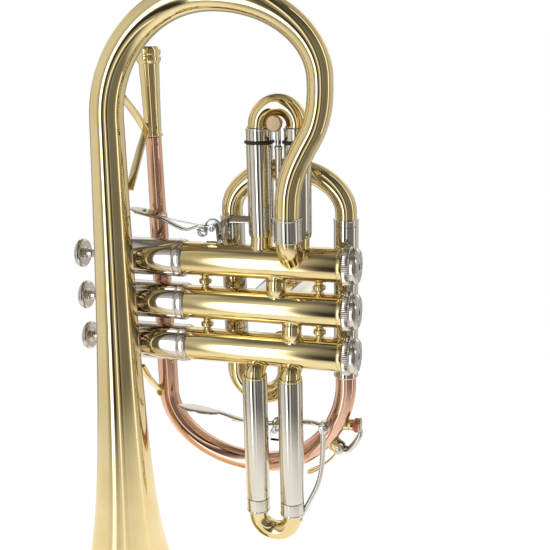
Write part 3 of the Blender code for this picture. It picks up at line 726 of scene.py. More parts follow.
def crook_line():
    """Centre line of the crook and its radii, from the bell to the bell tail."""
    bell_low, bell_high = span("bell")
    low, high = span("crook")
    tail = middle("tail_ferrule")
    leaning = bell_high.z - bell_low.z - BELL_UPRIGHT
    left_x = bell_low.x + (bell_high.y - bell_low.y) / 2 + BELL_LEAN * leaning
    right_x = tail.x + TAIL_STEP
    left_y, right_y = (bell_low.y + bell_high.y) / 2, tail.y
    start_r, end_r = CROOK_R, TAIL_R
    foot_z, right_z = low.z + 0.8, span("bell_tail")[1].z + 1.1
    mid_r = (start_r + end_r) / 2
    top = ((left_x + right_x) / 2, (left_y + right_y) / 2, high.z - mid_r)
    path = [(left_x, left_y, bell_high.z + 0.01), *arch((left_x, left_y, foot_z), top,
                                                        (right_x, right_y, right_z), 22),
            (right_x, right_y, right_z - 0.8)]
    radii = [start_r + (end_r - start_r) * i / (len(path) - 1) for i in range(len(path))]
    return path, radii


def build_crook():
    """The bow over the top and the S-shaped tail down to the first valve."""
    wall = sizes().sheet / MM
    path, radii = crook_line()
    shells = Shells()
    shells.sweep(places(path), radii, "lacquered_brass", wall=wall, sides=64)
    piece("crook_bow", shells, "lacquered_brass", "crook")

    x, y, top = path[-1]
    radius = radii[-1]
    foot_x = x - TAIL_STEP
    line = [(x, y, top - 0.01), (x, y, 112), (x - 0.8, y, 104), (x - 3.4, y, 95), (x - 8.8, y, 85),
            (x - 13.6, y, 75), (x - 16.4, y, 65), (foot_x, y, 55), (foot_x, y, 45.2)]
    shells = Shells()
    shells.sweep(curve_through(line, 7), radius, "lacquered_brass", wall=wall, sides=56)
    piece("swan_neck", shells, "lacquered_brass", "bell_tail")

    low, high = span("tail_ferrule")
    long = high.z - low.z
    shells = Shells()
    shells.sleeve(at(foot_x, y, low.z), (0, 0, 1), long, radius + 0.75, radius + 0.02, "nickel_silver",
                  beads=(0.75, long - 0.75), bead=0.25)
    piece("tail_collar", shells, "polished_nickel", "tail_ferrule")

    axis_y, axis_z, casing_r = casing_landing(1)
    entry = [(foot_x, y, 44.6), (foot_x, y, 40.0), (foot_x, y + 0.5, 37.4), (foot_x, y + 2.0, 34.8),
             (foot_x, y + 4.0, 32.8)]
    shells = Shells()
    shells.sweep(curve_through(entry, 5), radius, "lacquered_brass", sides=56,
                 landing=(axis_y, axis_z, casing_r))
    piece("tail_elbow", shells, "lacquered_brass", "tail_knuckle")


# ---------------------------------------------------------------- valves


# Radii of the casings' bore, the pistons, and the balusters.
CASING_BORE = 8.45
PISTON_R = 8.15
BALUSTER_R = 10.3


def build_casings():
    """The three casings and the nickel balusters over their upper ends."""
    for number in (1, 2, 3):
        y, z = valve_axis(number)
        low, high = span(f"valve_casing_{number}")
        radius = (high.z - low.z) / 2
        long = high.x - low.x
        shells = Shells()
        outline = [(0, CASING_BORE), (0, radius), (long - 2.6, radius), (long - 2.4, radius - 0.2),
                   (long - 2.0, radius - 0.2), (long - 1.8, radius), (long, radius), (long, CASING_BORE)]
        shells.turned(outline, at(low.x, y, z), (1, 0, 0), "lacquered_brass", sides=72)
        piece(f"casing_tube_{number}", shells, "lacquered_brass", f"valve_casing_{number}")

        low, high = span(f"baluster_{number}")
        start, long, bore = low.x, high.x - low.x, radius + 0.02
        big = BALUSTER_R
        outline = [(0, bore), (0, big), (long - 5.2, big), (long - 5.0, big - 0.2), (long - 4.5, big - 0.2),
                   (long - 4.3, big + 0.15), (long - 1.3, big + 0.15), (long - 1.1, big - 0.3),
                   (long - 0.7, big - 0.3), (long - 0.5, big - 0.1), (long, big - 0.5), (long, bore)]
        shells = Shells()
        shells.turned(outline, at(start, y, z), (1, 0, 0), "bright_plate", sides=72, ease=0.12)
        piece(f"baluster_sleeve_{number}", shells, "polished_nickel", f"baluster_{number}")


def build_caps():
    """Knurled caps at both ends of each valve."""
    teeth = sizes().knurl_teeth
    for number in (1, 2, 3):
        y, z = valve_axis(number)
        low, high = span(f"top_cap_{number}")
        deep = high.x - low.x
        outline = [(0, 3.0), (0, 5.9), (0.5, 6.3), (1.0, 6.4), (1.25, 7.0), (1.3, 9.3), (1.7, 9.9),
                   (2.0, 10.2), (deep - 0.8, 10.2), (deep - 0.4, 9.9), (deep, 9.8), (deep, 8.0),
                   (3.0, 8.0), (3.0, 3.0)]
        shells = Shells()
        shells.turned(outline, at(low.x, y, z), (1, 0, 0), "bright_plate", teeth=teeth, knurled=10.15,
                      ease=0.12)
        shells.turned([(0.35, 2.95), (0.35, 5.2), (-0.35, 5.0), (-0.35, 2.6)], at(low.x + 0.1, y, z),
                      (-1, 0, 0), "wool_felt", ease=0.15)
        piece(f"upper_cap_{number}", shells, "polished_nickel", f"top_cap_{number}")

        low, high = span(f"bottom_cap_{number}")
        outline = [(0, 8.2), (0, 9.9), (0.3, 10.2), (0.5, 10.4), (3.3, 10.4), (3.5, 10.2), (3.8, 9.9),
                   (4.0, 9.3), (4.3, 9.3), (4.5, 9.6), (6.3, 9.6), (6.9, 9.3), (7.7, 8.5), (8.2, 7.7),
                   (8.2, 6.5), (7.95, 6.3), (7.95, 4.2), (8.2, 4.0), (8.2, 2.7), (7.9, 2.3), (6.6, 2.3),
                   (6.6, 7.6), (5.6, 8.2)]
        shells = Shells()
        shells.turned(outline, at(low.x, y, z), (1, 0, 0), "bright_plate", teeth=teeth, knurled=10.15,
                      ease=0.1)
        piece(f"lower_cap_{number}", shells, "polished_nickel", f"bottom_cap_{number}")


def build_valves():
    """Each piston with its stem, and the finger button on top of it."""
    for number in (1, 2, 3):
        y, z = valve_axis(number)
        low, high = span(f"piston_{number}")
        body_r = PISTON_R
        button_low, button_high = span(f"finger_button_{number}")
        top = -66.0
        outline = [(low.x, 0.9), (low.x, 2.2), (-88.0, 2.2), (-87.6, 2.0), (-87.2, 2.0), (-86.8, 2.2),
                   (top - 2.0, 2.2), (top - 2.0, 3.6), (top, body_r), (high.x, body_r),
                   (high.x, body_r - 0.9), (top + 1.2, body_r - 0.9), (top + 1.2, 0.9)]
        shells = Shells()
        shells.turned([(d - low.x, r) for d, r in outline], at(low.x, y, z), (1, 0, 0), "lapped_steel",
                      ease=0.15)
        piece(f"piston_pump_{number}", shells, "piston_steel", f"piston_{number}")

        rim = (button_high.z - button_low.z) / 2
        long = button_high.x - button_low.x
        outline = [(0.45, 0.05), (0.45, 5.6), (0.0, 6.0), (0.0, 6.8), (0.5, 7.6), (1.3, rim), (2.4, rim),
                   (3.2, rim - 0.45), (3.6, rim - 1.1), (3.5, 6.2), (3.2, 5.0), (3.3, 3.4), (3.9, 2.7),
                   (4.6, 2.5), (5.0, 2.9), (5.6, 2.9), (5.9, 2.4), (long - 0.3, 2.35), (long, 2.1),
                   (long, 0.05)]
        shells = Shells()
        shells.spun(outline, at(button_low.x, y, z), (1, 0, 0), "bright_plate", sides=64, ease=0.14)
        shells.spun([(0.6, 0.05), (0.6, 5.55), (0.25, 5.5), (0.12, 3.5), (0.05, 0.05)][::-1],
                    at(button_low.x, y, z), (1, 0, 0), "nacre", sides=64, ease=0.1)
        piece(f"finger_key_{number}", shells, "polished_nickel", f"finger_button_{number}")


def build_passages():
    """The turned posts and crossover passages between the casings."""
    for upper in (1, 2):
        pair = f"{upper}{upper + 1}"
        y, z_up = valve_axis(upper)
        z_down = valve_axis(upper + 1)[1]
        radius = casing_landing(upper)[2]
        for row in ("front", "back"):
            node = f"spacer_{row}_{pair}"
            x = middle(node).x
            centre = (z_up + z_down) / 2
            half = (z_up - z_down) / 2 - radius + 0.25
            profile = [(-half - 0.25, 3.0), (-half, 2.7), (-half + 0.5, 2.1), (-1.9, 1.8), (-1.5, 2.3),
                       (-1.2, 3.1), (-0.6, 3.4), (0.6, 3.4), (1.2, 3.1), (1.5, 2.3), (1.9, 1.8),
                       (half - 0.5, 2.1), (half, 2.7), (half + 0.25, 3.0)]
            shells = Shells()
            shells.spun([(profile[0][0], 0.05), *profile, (profile[-1][0], 0.05)], at(x, y, centre),
                        (0, 0, 1), "lacquered_brass", sides=40, ease=0.2)
            piece(f"turned_post_{row}_{pair}", shells, "lacquered_brass", node)
        node = f"crossover_{pair}"
        low, high = span(node)
        x, wide = (low.x + high.x) / 2, (high.x - low.x) / 2 - 0.05
        centre = (z_up + z_down) / 2
        shells = Shells()
        elbow = curve_through([(x, -2.0, centre + 3.0), (x, -2.6, centre + 1.2), (x, -2.9, centre - 0.6),
                               (x, -2.1, centre - 2.6)], 5)
        shells.sweep(elbow, wide, "lacquered_brass", landing=(y, z_down, radius))
        shells.sweep(elbow[4::-1], wide, "lacquered_brass", landing=(y, z_up, radius))
        piece(f"crossing_{pair}", shells, "lacquered_brass", node)


# ---------------------------------------------------------------- slides


# Radii of the slides' inner tubes and bows, and of the main tuning slide.
LEG_R = 6.1
BOW_R = 5.4
TUNING_R = 5.75

# X and Z of the eye where the third slide's rod meets its lever.
FINGER_EYE = (25.0, -70.3)


def fixed_sleeves(slide, along, name_front):
    """The two fixed outer tubes of a valve slide, with a rolled mouth."""
    for side in ("a", "b"):
        node = f"{slide}_outer_{side}"
        low, high = span(node)
        centre = (low + high) / 2
        shells = Shells()
        if along == "Z":
            up = slide == "slide1"
            radius = (high.y - low.y) / 2
            start = at(centre.x, centre.y, low.z if up else high.z)
            direction = (0, 0, 1 if up else -1)
            long = high.z - low.z
        else:
            radius = (high.z - low.z) / 2
            start, direction, long = at(centre.x, 2.0, centre.z), (0, 1, 0), high.y - 2.0
        shells.sleeve(start, direction, long, radius, LEG_R + 0.15, "nickel_silver", ease=0.3)
        piece(f"{name_front}_sleeve_{side}", shells, "nickel_silver", node)


def build_first_slide():
    """The first slide: ports, fixed tubes, legs with black rings, bow, knob and push rod."""
    fixed_sleeves("slide1", "Z", "first_slide")
    landing = casing_landing(1)
    for side in ("a", "b"):
        line = span(f"slide1_outer_{side}")
        centre = (line[0] + line[1]) / 2
        shells = Shells()
        x, y, top = centre.x, centre.y, line[0].z
        shells.sweep(curve_through([(x, y, top + 2.0), (x, y, top - 0.6), (x, y - 0.2, top - 2.4),
                                    (x, y - 0.5, top - 4.0)], 3), 5.75, "lacquered_brass", landing=landing)
        shells.sleeve(at(x, y, top - 1.3), (0, 0, 1), 1.5, 6.6, 5.7, "lacquered_brass", ease=0.35)
        piece(f"first_slide_stub_{side}", shells, "lacquered_brass", f"slide1_port_{side}")

        low, high = span(f"slide1_leg_{side}")
        mouth = line[1].z
        shells = Shells()
        shells.turned([(0, LEG_R - 0.5), (0, LEG_R), (high.z - low.z, LEG_R), (high.z - low.z, LEG_R - 0.5)],
                      at(x, y, low.z), (0, 0, 1), "nickel_silver")
        long = high.z - mouth - 0.3
        shells.sleeve(at(x, y, mouth + 0.3), (0, 0, 1), long, LEG_R + 0.7, LEG_R - 0.3, "nickel_silver",
                      beads=(long - 0.6,), bead=0.2, ease=0.2)
        ring = [(x + 7.0 * math.cos(2 * math.pi * k / 48), y + 7.0 * math.sin(2 * math.pi * k / 48),
                 mouth + 0.95)
                for k in range(48)]
        loop = [at(*p) for p in ring]
        rings = []
        for k, p in enumerate(loop):
            out = (p - at(x, y, mouth + 0.95)).normalized()
            rings.append(circle(p, out, Vector((0, 0, 1)), 0.85, 16))
        shells.skin(rings, "black_rubber", loop=True)
        piece(f"first_slide_leg_{side}", shells, "nickel_silver", f"slide1_leg_{side}")

    low, high = span("slide1_bow")
    centre = (low + high) / 2
    radius = (high.y - low.y) / 2
    half = (high.x - low.x) / 2 - radius
    crown = high.z - radius
    points = [(centre.x - half, centre.y, low.z)]
    points += arch((centre.x - half, centre.y, crown - half), (centre.x, centre.y, crown),
                   (centre.x + half, centre.y, crown - half), 16)
    points += [(centre.x + half, centre.y, low.z)]
    shells = Shells()
    shells.sweep(places(points), radius + 0.15, "lacquered_brass", wall=sizes().sheet / MM)
    for x in (centre.x - half, centre.x + half):
        shells.sleeve(at(x, centre.y, low.z - 0.1), (0, 0, 1), 0.9, radius + 0.75, radius, "lacquered_brass",
                      ease=0.3)
    piece("first_slide_bow", shells, "lacquered_brass", "slide1_bow")

    low, high = span("slide1_knob")
    x, z = middle("slide1_bow").x, high.z - 4.2
    y = middle("slide1_leg_a").y
    shells = Shells()
    shells.spun([(0, 0.05), (0, 3.5), (0.25, 3.95), (0.7, 4.2), (2.0, 4.2), (2.4, 3.9), (2.55, 2.6),
                 (2.9, 2.3),
                 (9.6, 2.3), (9.6, 0.05)], at(x, low.y, z), (0, 1, 0), "brushed_knob", sides=56, ease=0.2)
    foot = low.z + 2.8
    shells.spun([(0, 0.05), (0, 1.9), (37.0, 1.9), (37.6, 2.2), (38.6, 2.2), (39.2, 1.45), (z - foot, 1.45),
                 (z - foot, 0.05)], at(x, y, foot), (0, 0, 1), "nickel_silver", sides=32, ease=0.25)
    shells.spun([(0, 0.05), (0, 2.3), (0.4, 2.8), (7.0, 2.8), (7.4, 2.3), (7.4, 0.05)], at(x, y - 1.0, foot),
                (0, 1, 0), "nickel_silver", sides=36, ease=0.2)
    shells.screw(at(x, y - 1.0, foot), (0, -1, 0), 1.5, 0.5)
    piece("first_slide_knob", shells, "lacquered_brass", "slide1_knob")


def build_second_slide():
    """The second slide, which points away from the fingers' side."""
    fixed_sleeves("slide2", "Y", "second_slide")
    low, high = span("slide2_slide")
    centre = (low + high) / 2
    mouth = span("slide2_outer_a")[1].y
    half = middle("slide2_outer_b").x - centre.x
    crown = high.y - BOW_R
    turn = [math.pi * i / 28 for i in range(29)]
    bend = [(centre.x - half * math.cos(t), crown - half + half * math.sin(t)) for t in turn]
    points = [(centre.x - half, mouth + 3.0), *bend, (centre.x + half, mouth + 3.0)]
    shells = Shells()
    shells.sweep(places([(x, y, centre.z) for x, y in points]), BOW_R, "lacquered_brass",
                 wall=sizes().sheet / MM, across=(0, 0, 1))
    for x in (centre.x - half, centre.x + half):
        shells.turned([(0, LEG_R - 0.5), (0, LEG_R), (mouth + 3.8 - low.y, LEG_R),
                       (mouth + 3.8 - low.y, LEG_R - 0.5)], at(x, low.y, centre.z), (0, 1, 0),
                       "nickel_silver")
        shells.sleeve(at(x, mouth + 0.3, centre.z), (0, 1, 0), 3.9, LEG_R + 0.7, BOW_R - 0.1, "nickel_silver",
                      beads=(3.2,), bead=0.2)
    piece("second_slide_bow", shells, "lacquered_brass", "slide2_slide")


def build_third_slide():
    """The third slide, pointing down, with the rod that its lever pulls."""
    fixed_sleeves("slide3", "Z", "third_slide")
    landing = casing_landing(3)
    half = (middle("slide3_outer_b").x - middle("slide3_outer_a").x) / 2
    centre_x = (middle("slide3_outer_a").x + middle("slide3_outer_b").x) / 2
    y = middle("slide3_outer_a").y
    top, mouth = span("slide3_outer_a")[1].z, span("slide3_outer_a")[0].z
    for side, x in (("a", centre_x - half), ("b", centre_x + half)):
        shells = Shells()
        elbow = curve_through([(x, y, top - 2.0), (x, y, top + 0.6), (x, y + 0.5, top + 2.4),
                               (x, y + 1.9, top + 4.0), (x, y + 4.2, top + 5.0)], 5)
        shells.sweep(elbow, 5.75, "lacquered_brass", landing=landing)
        shells.sleeve(at(x, y, top + 1.5), (0, 0, -1), 1.7, 6.75, 5.8, "lacquered_brass", ease=0.4)
        piece(f"third_slide_stub_{side}", shells, "lacquered_brass", f"slide3_port_{side}")

    high = span("slide3_slide")[1]
    crown = mouth - 11.0 - half
    left, right = centre_x - half, centre_x + half
    foot = mouth - 7.6
    points = [(left, y, foot), *arch((left, y, crown + half), (centre_x, y, crown), (right, y, crown + half),
                                     18),
              (right, y, foot)]
    shells = Shells()
    shells.sweep(places(points), BOW_R, "lacquered_brass", wall=sizes().sheet / MM)
    for x in (left, right):
        long = high.z - (mouth - 8.3)
        shells.turned([(0, LEG_R - 0.5), (0, LEG_R), (long, LEG_R), (long, LEG_R - 0.5)],
                      at(x, y, mouth - 8.3), (0, 0, 1), "nickel_silver")
        shells.sleeve(at(x, y, mouth - 0.3), (0, 0, -1), 8.2, LEG_R + 0.7, BOW_R - 0.1, "nickel_silver",
                      beads=(7.6,), bead=0.2)
    eye_x, eye_z = FINGER_EYE
    link = curve_through([(eye_x, 2.4, eye_z), (eye_x - 0.5, 2.2, -88), (eye_x - 3.0, 0, -104),
                          (right + 4.2, y, mouth - 12.0)], 10)
    shells.sweep(link, 1.45, "nickel_silver", sides=24)
    shells.ball(link[-1], 2.1, "nickel_silver")
    shells.spun([(0, 0.05), (0, 2.2), (0.3, 2.6), (2.5, 2.6), (2.8, 2.3), (2.8, 0.05)], at(eye_x, 1.0, eye_z),
                (0, 1, 0), "nickel_silver", sides=36, ease=0.15)
    shells.screw(at(eye_x, 1.0, eye_z), (0, -1, 0), 1.5, 0.5)
    piece("third_slide_bow", shells, "lacquered_brass", "slide3_slide")


def build_tuning_slide():
    """The main tuning slide behind the valves, its fixed tubes and the return bow."""
    y = middle("main_outer_left").y
    ends = {}
    for side in ("left", "right"):
        low, high = span(f"main_outer_{side}")
        x = (low.x + high.x) / 2
        radius = (high.y - low.y) / 2
        ends[side] = (x, low.z, high.z, radius)
        shells = Shells()
        long = high.z - low.z
        beads = (1.0, long - 22.0) if side == "right" else (1.0,)
        shells.sleeve(at(x, y, low.z), (0, 0, 1), long, radius, 5.8, "nickel_silver", beads=beads,
                      bead=0.0001, ease=0.3)
        piece(f"tuning_sleeve_{side}", shells, "nickel_silver", f"main_outer_{side}")
    low, high = span("main_slide")
    mouth = ends["left"][2]
    leg = TUNING_R
    left, right = ends["left"][0], ends["right"][0]
    centre = (left + right) / 2
    points = [(left, y, mouth + 3.0), *arch((left, y, 48.5), (centre, y, high.z - leg), (right, y, 48.5), 22),
              (right, y, mouth + 3.0)]
    shells = Shells()
    shells.sweep(places(points), leg, "lacquered_brass", wall=sizes().sheet / MM)
    for x in (left, right):
        shells.turned([(0, leg - 0.5), (0, leg), (mouth + 3.6 - low.z, leg),
                       (mouth + 3.6 - low.z, leg - 0.5)],
                      at(x, y, low.z), (0, 0, 1), "nickel_silver")
        shells.sleeve(at(x, y, mouth + 0.25), (0, 0, 1), 3.8, leg + 0.85, leg - 0.1, "nickel_silver",
                      beads=(3.1,), bead=0.22)
    piece("tuning_bow", shells, "lacquered_brass", "main_slide")

    low, high = span("return_bow")
    right = 1.2
    radius = leg
    bend = arch((left, y, -44.0), ((left + right) / 2, y, low.z + radius), (right, y, -44.0), 16)
    points = [(left, y, high.z + 4.0), (left, y, -30.0), *bend, (right, y - 0.4, -38.0),
              (right, y - 3.0, -32.6), (right, y - 6.0, -29.2)]
    shells = Shells()
    shells.sweep(places(points), radius, "lacquered_brass", landing=casing_landing(3))
    shells.sleeve(at(left, y, high.z - 5.0), (0, 0, 1), 5.0, 6.6, 5.6, "nickel_silver", beads=(0.7,),
                  bead=0.2)
    piece("return_tube", shells, "lacquered_brass", "return_bow")


# ---------------------------------------------------------------- leadpipe and front bow


# Height of the water key's nipple on the front bow, and X of its mouth.
NIPPLE_Z = -73.0
NIPPLE_END = 39.4


def build_leadpipe():
    """The tapered leadpipe with the mouthpiece receiver soldered over its end."""
    low, high = span("leadpipe")
    x, y = (low.x + high.x) / 2, (low.y + high.y) / 2
    step = 46.0
    outline = [(high.z, 3.7), (high.z, 4.35), (step + 0.6, 4.5), (step + 0.2, 4.7), (step - 0.4, 5.05),
               (step - 1.4, 5.1), (20.0, 5.15), (-12.0, 5.3), (low.z, 5.45), (low.z, 4.8)]
    shells = Shells()
    shells.turned([(high.z - z, r) for z, r in outline], at(x, y, high.z), (0, 0, -1), "rose_brass", ease=0.4)
    piece("lead_tube", shells, "rose_brass", "leadpipe")

    low, high = span("receiver")
    base = low.z
    outline = [(0, 4.2), (0, 5.0), (0.5, 5.2), (1.6, 5.2), (2.2, 4.95), (2.6, 4.7), (3.4, 4.62), (20.0, 4.9),
               (34.0, 5.35), (38.6, 5.55), (39.4, 5.9), (40.2, 6.45), (41.0, 6.6), (42.2, 6.6), (42.7, 6.25),
               (43.3, 6.25), (43.8, 6.6), (46.0, 6.6), (46.9, 6.2), (47.6, 5.8), (47.7, 5.0), (47.5, 4.85),
               (25.7, 4.1)]
    shells = Shells()
    shells.turned(outline, at(x, y, base), (0, 0, 1), "lacquered_brass", ease=0.25)
    piece("mouthpiece_receiver", shells, "lacquered_brass", "receiver")


def build_front_bow():
    """The rose-brass bow from the leadpipe round to the tuning slide, with the water key's nipple."""
    low = span("front_bow")[0]
    y = middle("leadpipe").y
    radius = TUNING_R
    left, right = middle("leadpipe").x, middle("main_outer_right").x
    bottom = low.z + radius
    centre = (left + right) / 2
    top_left, top_right = span("leadpipe")[0].z - 0.3, span("main_outer_right")[0].z - 0.3
    points = [(left, y, top_left), (left, y, -46.0),
              *quarter((left, y, -62.0), (centre, y, bottom), True, 26),
              *quarter((centre, y, bottom), (right, y, -48.0), False, 26)[1:], (right, y, top_right)]
    radii = [5.6] + [radius] * (len(points) - 1)
    shells = Shells()
    shells.sweep(places(points), radii, "rose_brass", wall=sizes().sheet / MM)
    shells.sleeve(at(left, y, top_left), (0, 0, -1), 9.0, radius + 0.75, radius - 0.2, "rose_brass",
                  beads=(0.8, 8.2), bead=0.25)
    shells.sleeve(at(right, y, top_right), (0, 0, -1), 9.0, radius + 0.85, radius - 0.2, "nickel_silver",
                  beads=(0.8, 8.2), bead=0.2)
    shells.turned([(0, 1.6), (0, 4.6), (0.5, 4.2), (1.0, 3.4), (3.6, 3.1), (4.1, 3.3), (6.4, 3.3),
                   (6.4, 1.6)],
                  at(NIPPLE_END - 6.4, y, NIPPLE_Z), (1, 0, 0), "lacquered_brass", ease=0.2)
    piece("rose_bow", shells, "rose_brass", "front_bow")


def build_braces():
    """Flat braces: a V from the leadpipe to the bell and crook, and one lower down."""
    x, y = -74.6, middle("leadpipe").y
    bell_y = middle("bell").y
    wide, thick = 4.4, 1.7
    shells = Shells()
    low_arm = curve_through([(x, y - 4.4, 93.0), (x, y - 7.2, 90.0), (x, y - 16.0, 80.6),
                             (x, bell_y + 10.0, 63.6)], 8)
    high_arm = curve_through([(x, y - 4.4, 90.6), (x, y - 7.2, 93.4), (x, y - 16.0, 101.0),
                              (x, bell_y + 9.2, 111.4)], 8)
    shells.strap(low_arm, wide, thick, "lacquered_brass", flat=(1, 0, 0))
    shells.strap(high_arm, wide, thick, "lacquered_brass", flat=(1, 0, 0))
    shells.strap(places([(x, y - 4.9, 96.0), (x, y - 4.75, 94.0), (x, y - 4.75, 89.5), (x, y - 4.9, 87.5)]),
                 [2.4, 4.4, 4.4, 2.4], 0.9, "lacquered_brass", flat=(1, 0, 0))
    piece("bell_brace", shells, "lacquered_brass", "upper_brace")

    shells = Shells()
    arm = curve_through([(x - 1.8, y - 6.0, -60.0), (x - 2.0, y - 9.0, -57.4), (x - 2.5, y - 18.0, -47.6),
                         (x - 3.0, bell_y + 15.0, -37.4)], 8)
    shells.strap(arm, wide, thick, "lacquered_brass", flat=(1, 0, 0))
    shells.strap(places([(x - 1.8, y - 5.9, -64.0), (x - 1.8, y - 5.8, -62.0), (x - 1.8, y - 5.8, -58.5),
                         (x - 1.8, y - 5.9, -56.8)]), [2.4, 4.4, 4.4, 2.4], 0.9, "lacquered_brass",
                         flat=(1, 0, 0))
    piece("bow_brace", shells, "lacquered_brass", "lower_brace")


# ---------------------------------------------------------------- levers


# X and Z of the hinge pins.
THUMB_HINGE = (-33.7, 41.7)
FINGER_HINGE = (-1.5, -71.5)
KEY_HINGE = (31.2, -88.0)


def ear(x, z, radius, foot_half, foot_z, steps=12):
    """Outline of a hinge ear: round over the pin, with sides running down to its foot."""
    sign = 1 if foot_z < z else -1
    made = []
    for i in range(steps + 1):
        turn = math.pi * i / steps
        made.append((x + radius * math.cos(turn), z + sign * radius * math.sin(turn)))
    return made + [(x - foot_half, foot_z), (x + foot_half, foot_z)]


def oval(points, widest, blunt=0.5):
    """Widths that make a plate's plan an oval along its points."""
    count = len(points) - 1
    return [max(widest * max(1 - (2 * i / count - 1) ** 2, 0.0) ** blunt,
                widest * 0.12) for i in range(count + 1)]


def build_thumb_lever():
    """The thumb lever over the first valve, its post, and its coiled spring."""
    x, z = THUMB_HINGE
    metal = "nickel_silver"
    shells = Shells()
    casing_r = casing_landing(1)[2]
    foot_z = valve_axis(1)[1] + casing_r - 1.0
    for near, far in ((-2.6, -0.9), (5.5, 7.2)):
        shells.plate(ear(x, z, 2.3, 2.6, 35.0), near, far, metal)
    shells.strap(places([(x, -3.6, 34.0), (x, -2.6, 34.6), (x, 2.3, 35.2), (x, 6.6, 34.4), (x, 7.6, 33.6)]),
                 [5.2, 6.4, 7.0, 6.4, 5.2], 1.6, metal, flat=(1, 0, 0))
    shells.spun([(0, 0.05), (0, 4.2), (1.2, 3.9), (4.0, 2.9), (3.4, 2.6), (4.4, 0.05)],
                at(x, 0.6, foot_z - 0.8), (0, 0, 1), metal, ease=0.4)
    shells.spun([(0, 0.05), (0, 1.05), (9.8, 1.05), (9.8, 0.05)], at(x, -2.6, z), (0, 1, 0), "spring_steel",
                sides=24)
    shells.screw(at(x, -2.6, z), (0, -1, 0), 1.7, 0.8)
    piece("thumb_post", shells, "nickel_silver", "trigger1_post")

    shells = Shells()
    shells.turned([(0, 1.1), (0, 2.35), (5.6, 2.35), (5.6, 1.1)], at(x, -0.5, z), (0, 1, 0),
                  "worn_nickel", sides=40, ease=0.25)
    arm = curve_through([(-80.0, 2.6, 48.6), (-73.0, 2.6, 47.2), (-63.0, 2.5, 44.9), (-55.5, 2.4, 41.5),
                         (-50.0, 2.3, 40.0), (-43.0, 2.3, 42.0), (x - 1.8, 2.3, z + 0.5)], 8)
    widths = [3.4 + 0.9 * math.sin(math.pi * i / (len(arm) - 1)) for i in range(len(arm))]
    shells.strap(arm, widths, 1.4, "worn_nickel", squareness=0.7)
    pad = curve_through([(-83.2, 4.0, 50.3), (-78.5, 4.0, 49.5), (-73.0, 4.0, 48.4), (-68.0, 4.0, 47.3),
                         (-62.5, 4.0, 45.9)], 7)
    shells.strap(pad, oval(pad, 12.6), 1.25, "worn_nickel", sides=32, squareness=0.8)
    shells.screw(pad[len(pad) // 2 - 3] + Vector((0, 0, 0.5)) * MM, (0.22, 0, 0.97), 1.5, 0.6)
    shells.strap(curve_through([(x + 1.2, 2.6, z + 0.5), (x + 3.5, 3.4, z + 1.4), (x + 5.0, 5.4, z + 2.6),
                                (x + 5.6, 8.4, z + 3.2), (x + 7.0, 9.4, z + 3.2)], 6), 3.6, 1.5,
                                "worn_nickel",
                 flat=(0, 0, 1), squareness=0.6)
    bar = curve_through([(x + 5.6, 9.4, z + 3.2), (x + 14.0, 9.4, z + 3.3), (x + 26.0, 9.4, z + 3.4),
                         (x + 36.4, 9.4, z + 4.2), (6.0, 9.4, z + 4.6)], 6)
    shells.strap(bar, [4.2] * (len(bar) - 3) + [4.0, 3.4, 1.8], 1.15, "worn_nickel", flat=(0, 0.57, 0.82),
                 squareness=0.5)
    shells.spun([(0, 0.05), (0, 2.2), (1.15, 2.2), (1.15, 0.05)], at(2.9, 8.85, z + 4.3), (0, 1, 0),
                "worn_nickel", sides=32, ease=0.2)
    wire = sizes().wire / MM
    coil = helix((x - 0.8, -0.2, z + 0.2), 4.3, 2.3, 1.5, (-64.0, -0.4, 46.9), (x - 10.0, 3.4, 39.6))
    shells.sweep(coil, wire, "spring_steel", sides=12, across=(0.2, 0.9, 0.3))
    loops = helix((x - 6.6, -1.2, z - 2.4), 2.3, 2.4, 2.4, (x - 1.4, -0.6, z - 1.6), (x - 10.4, 2.4, z - 1.9))
    shells.sweep(loops, wire, "spring_steel", sides=12, across=(0.2, 0.9, 0.3))
    piece("thumb_lever", shells, "nickel_silver", "trigger1_lever")


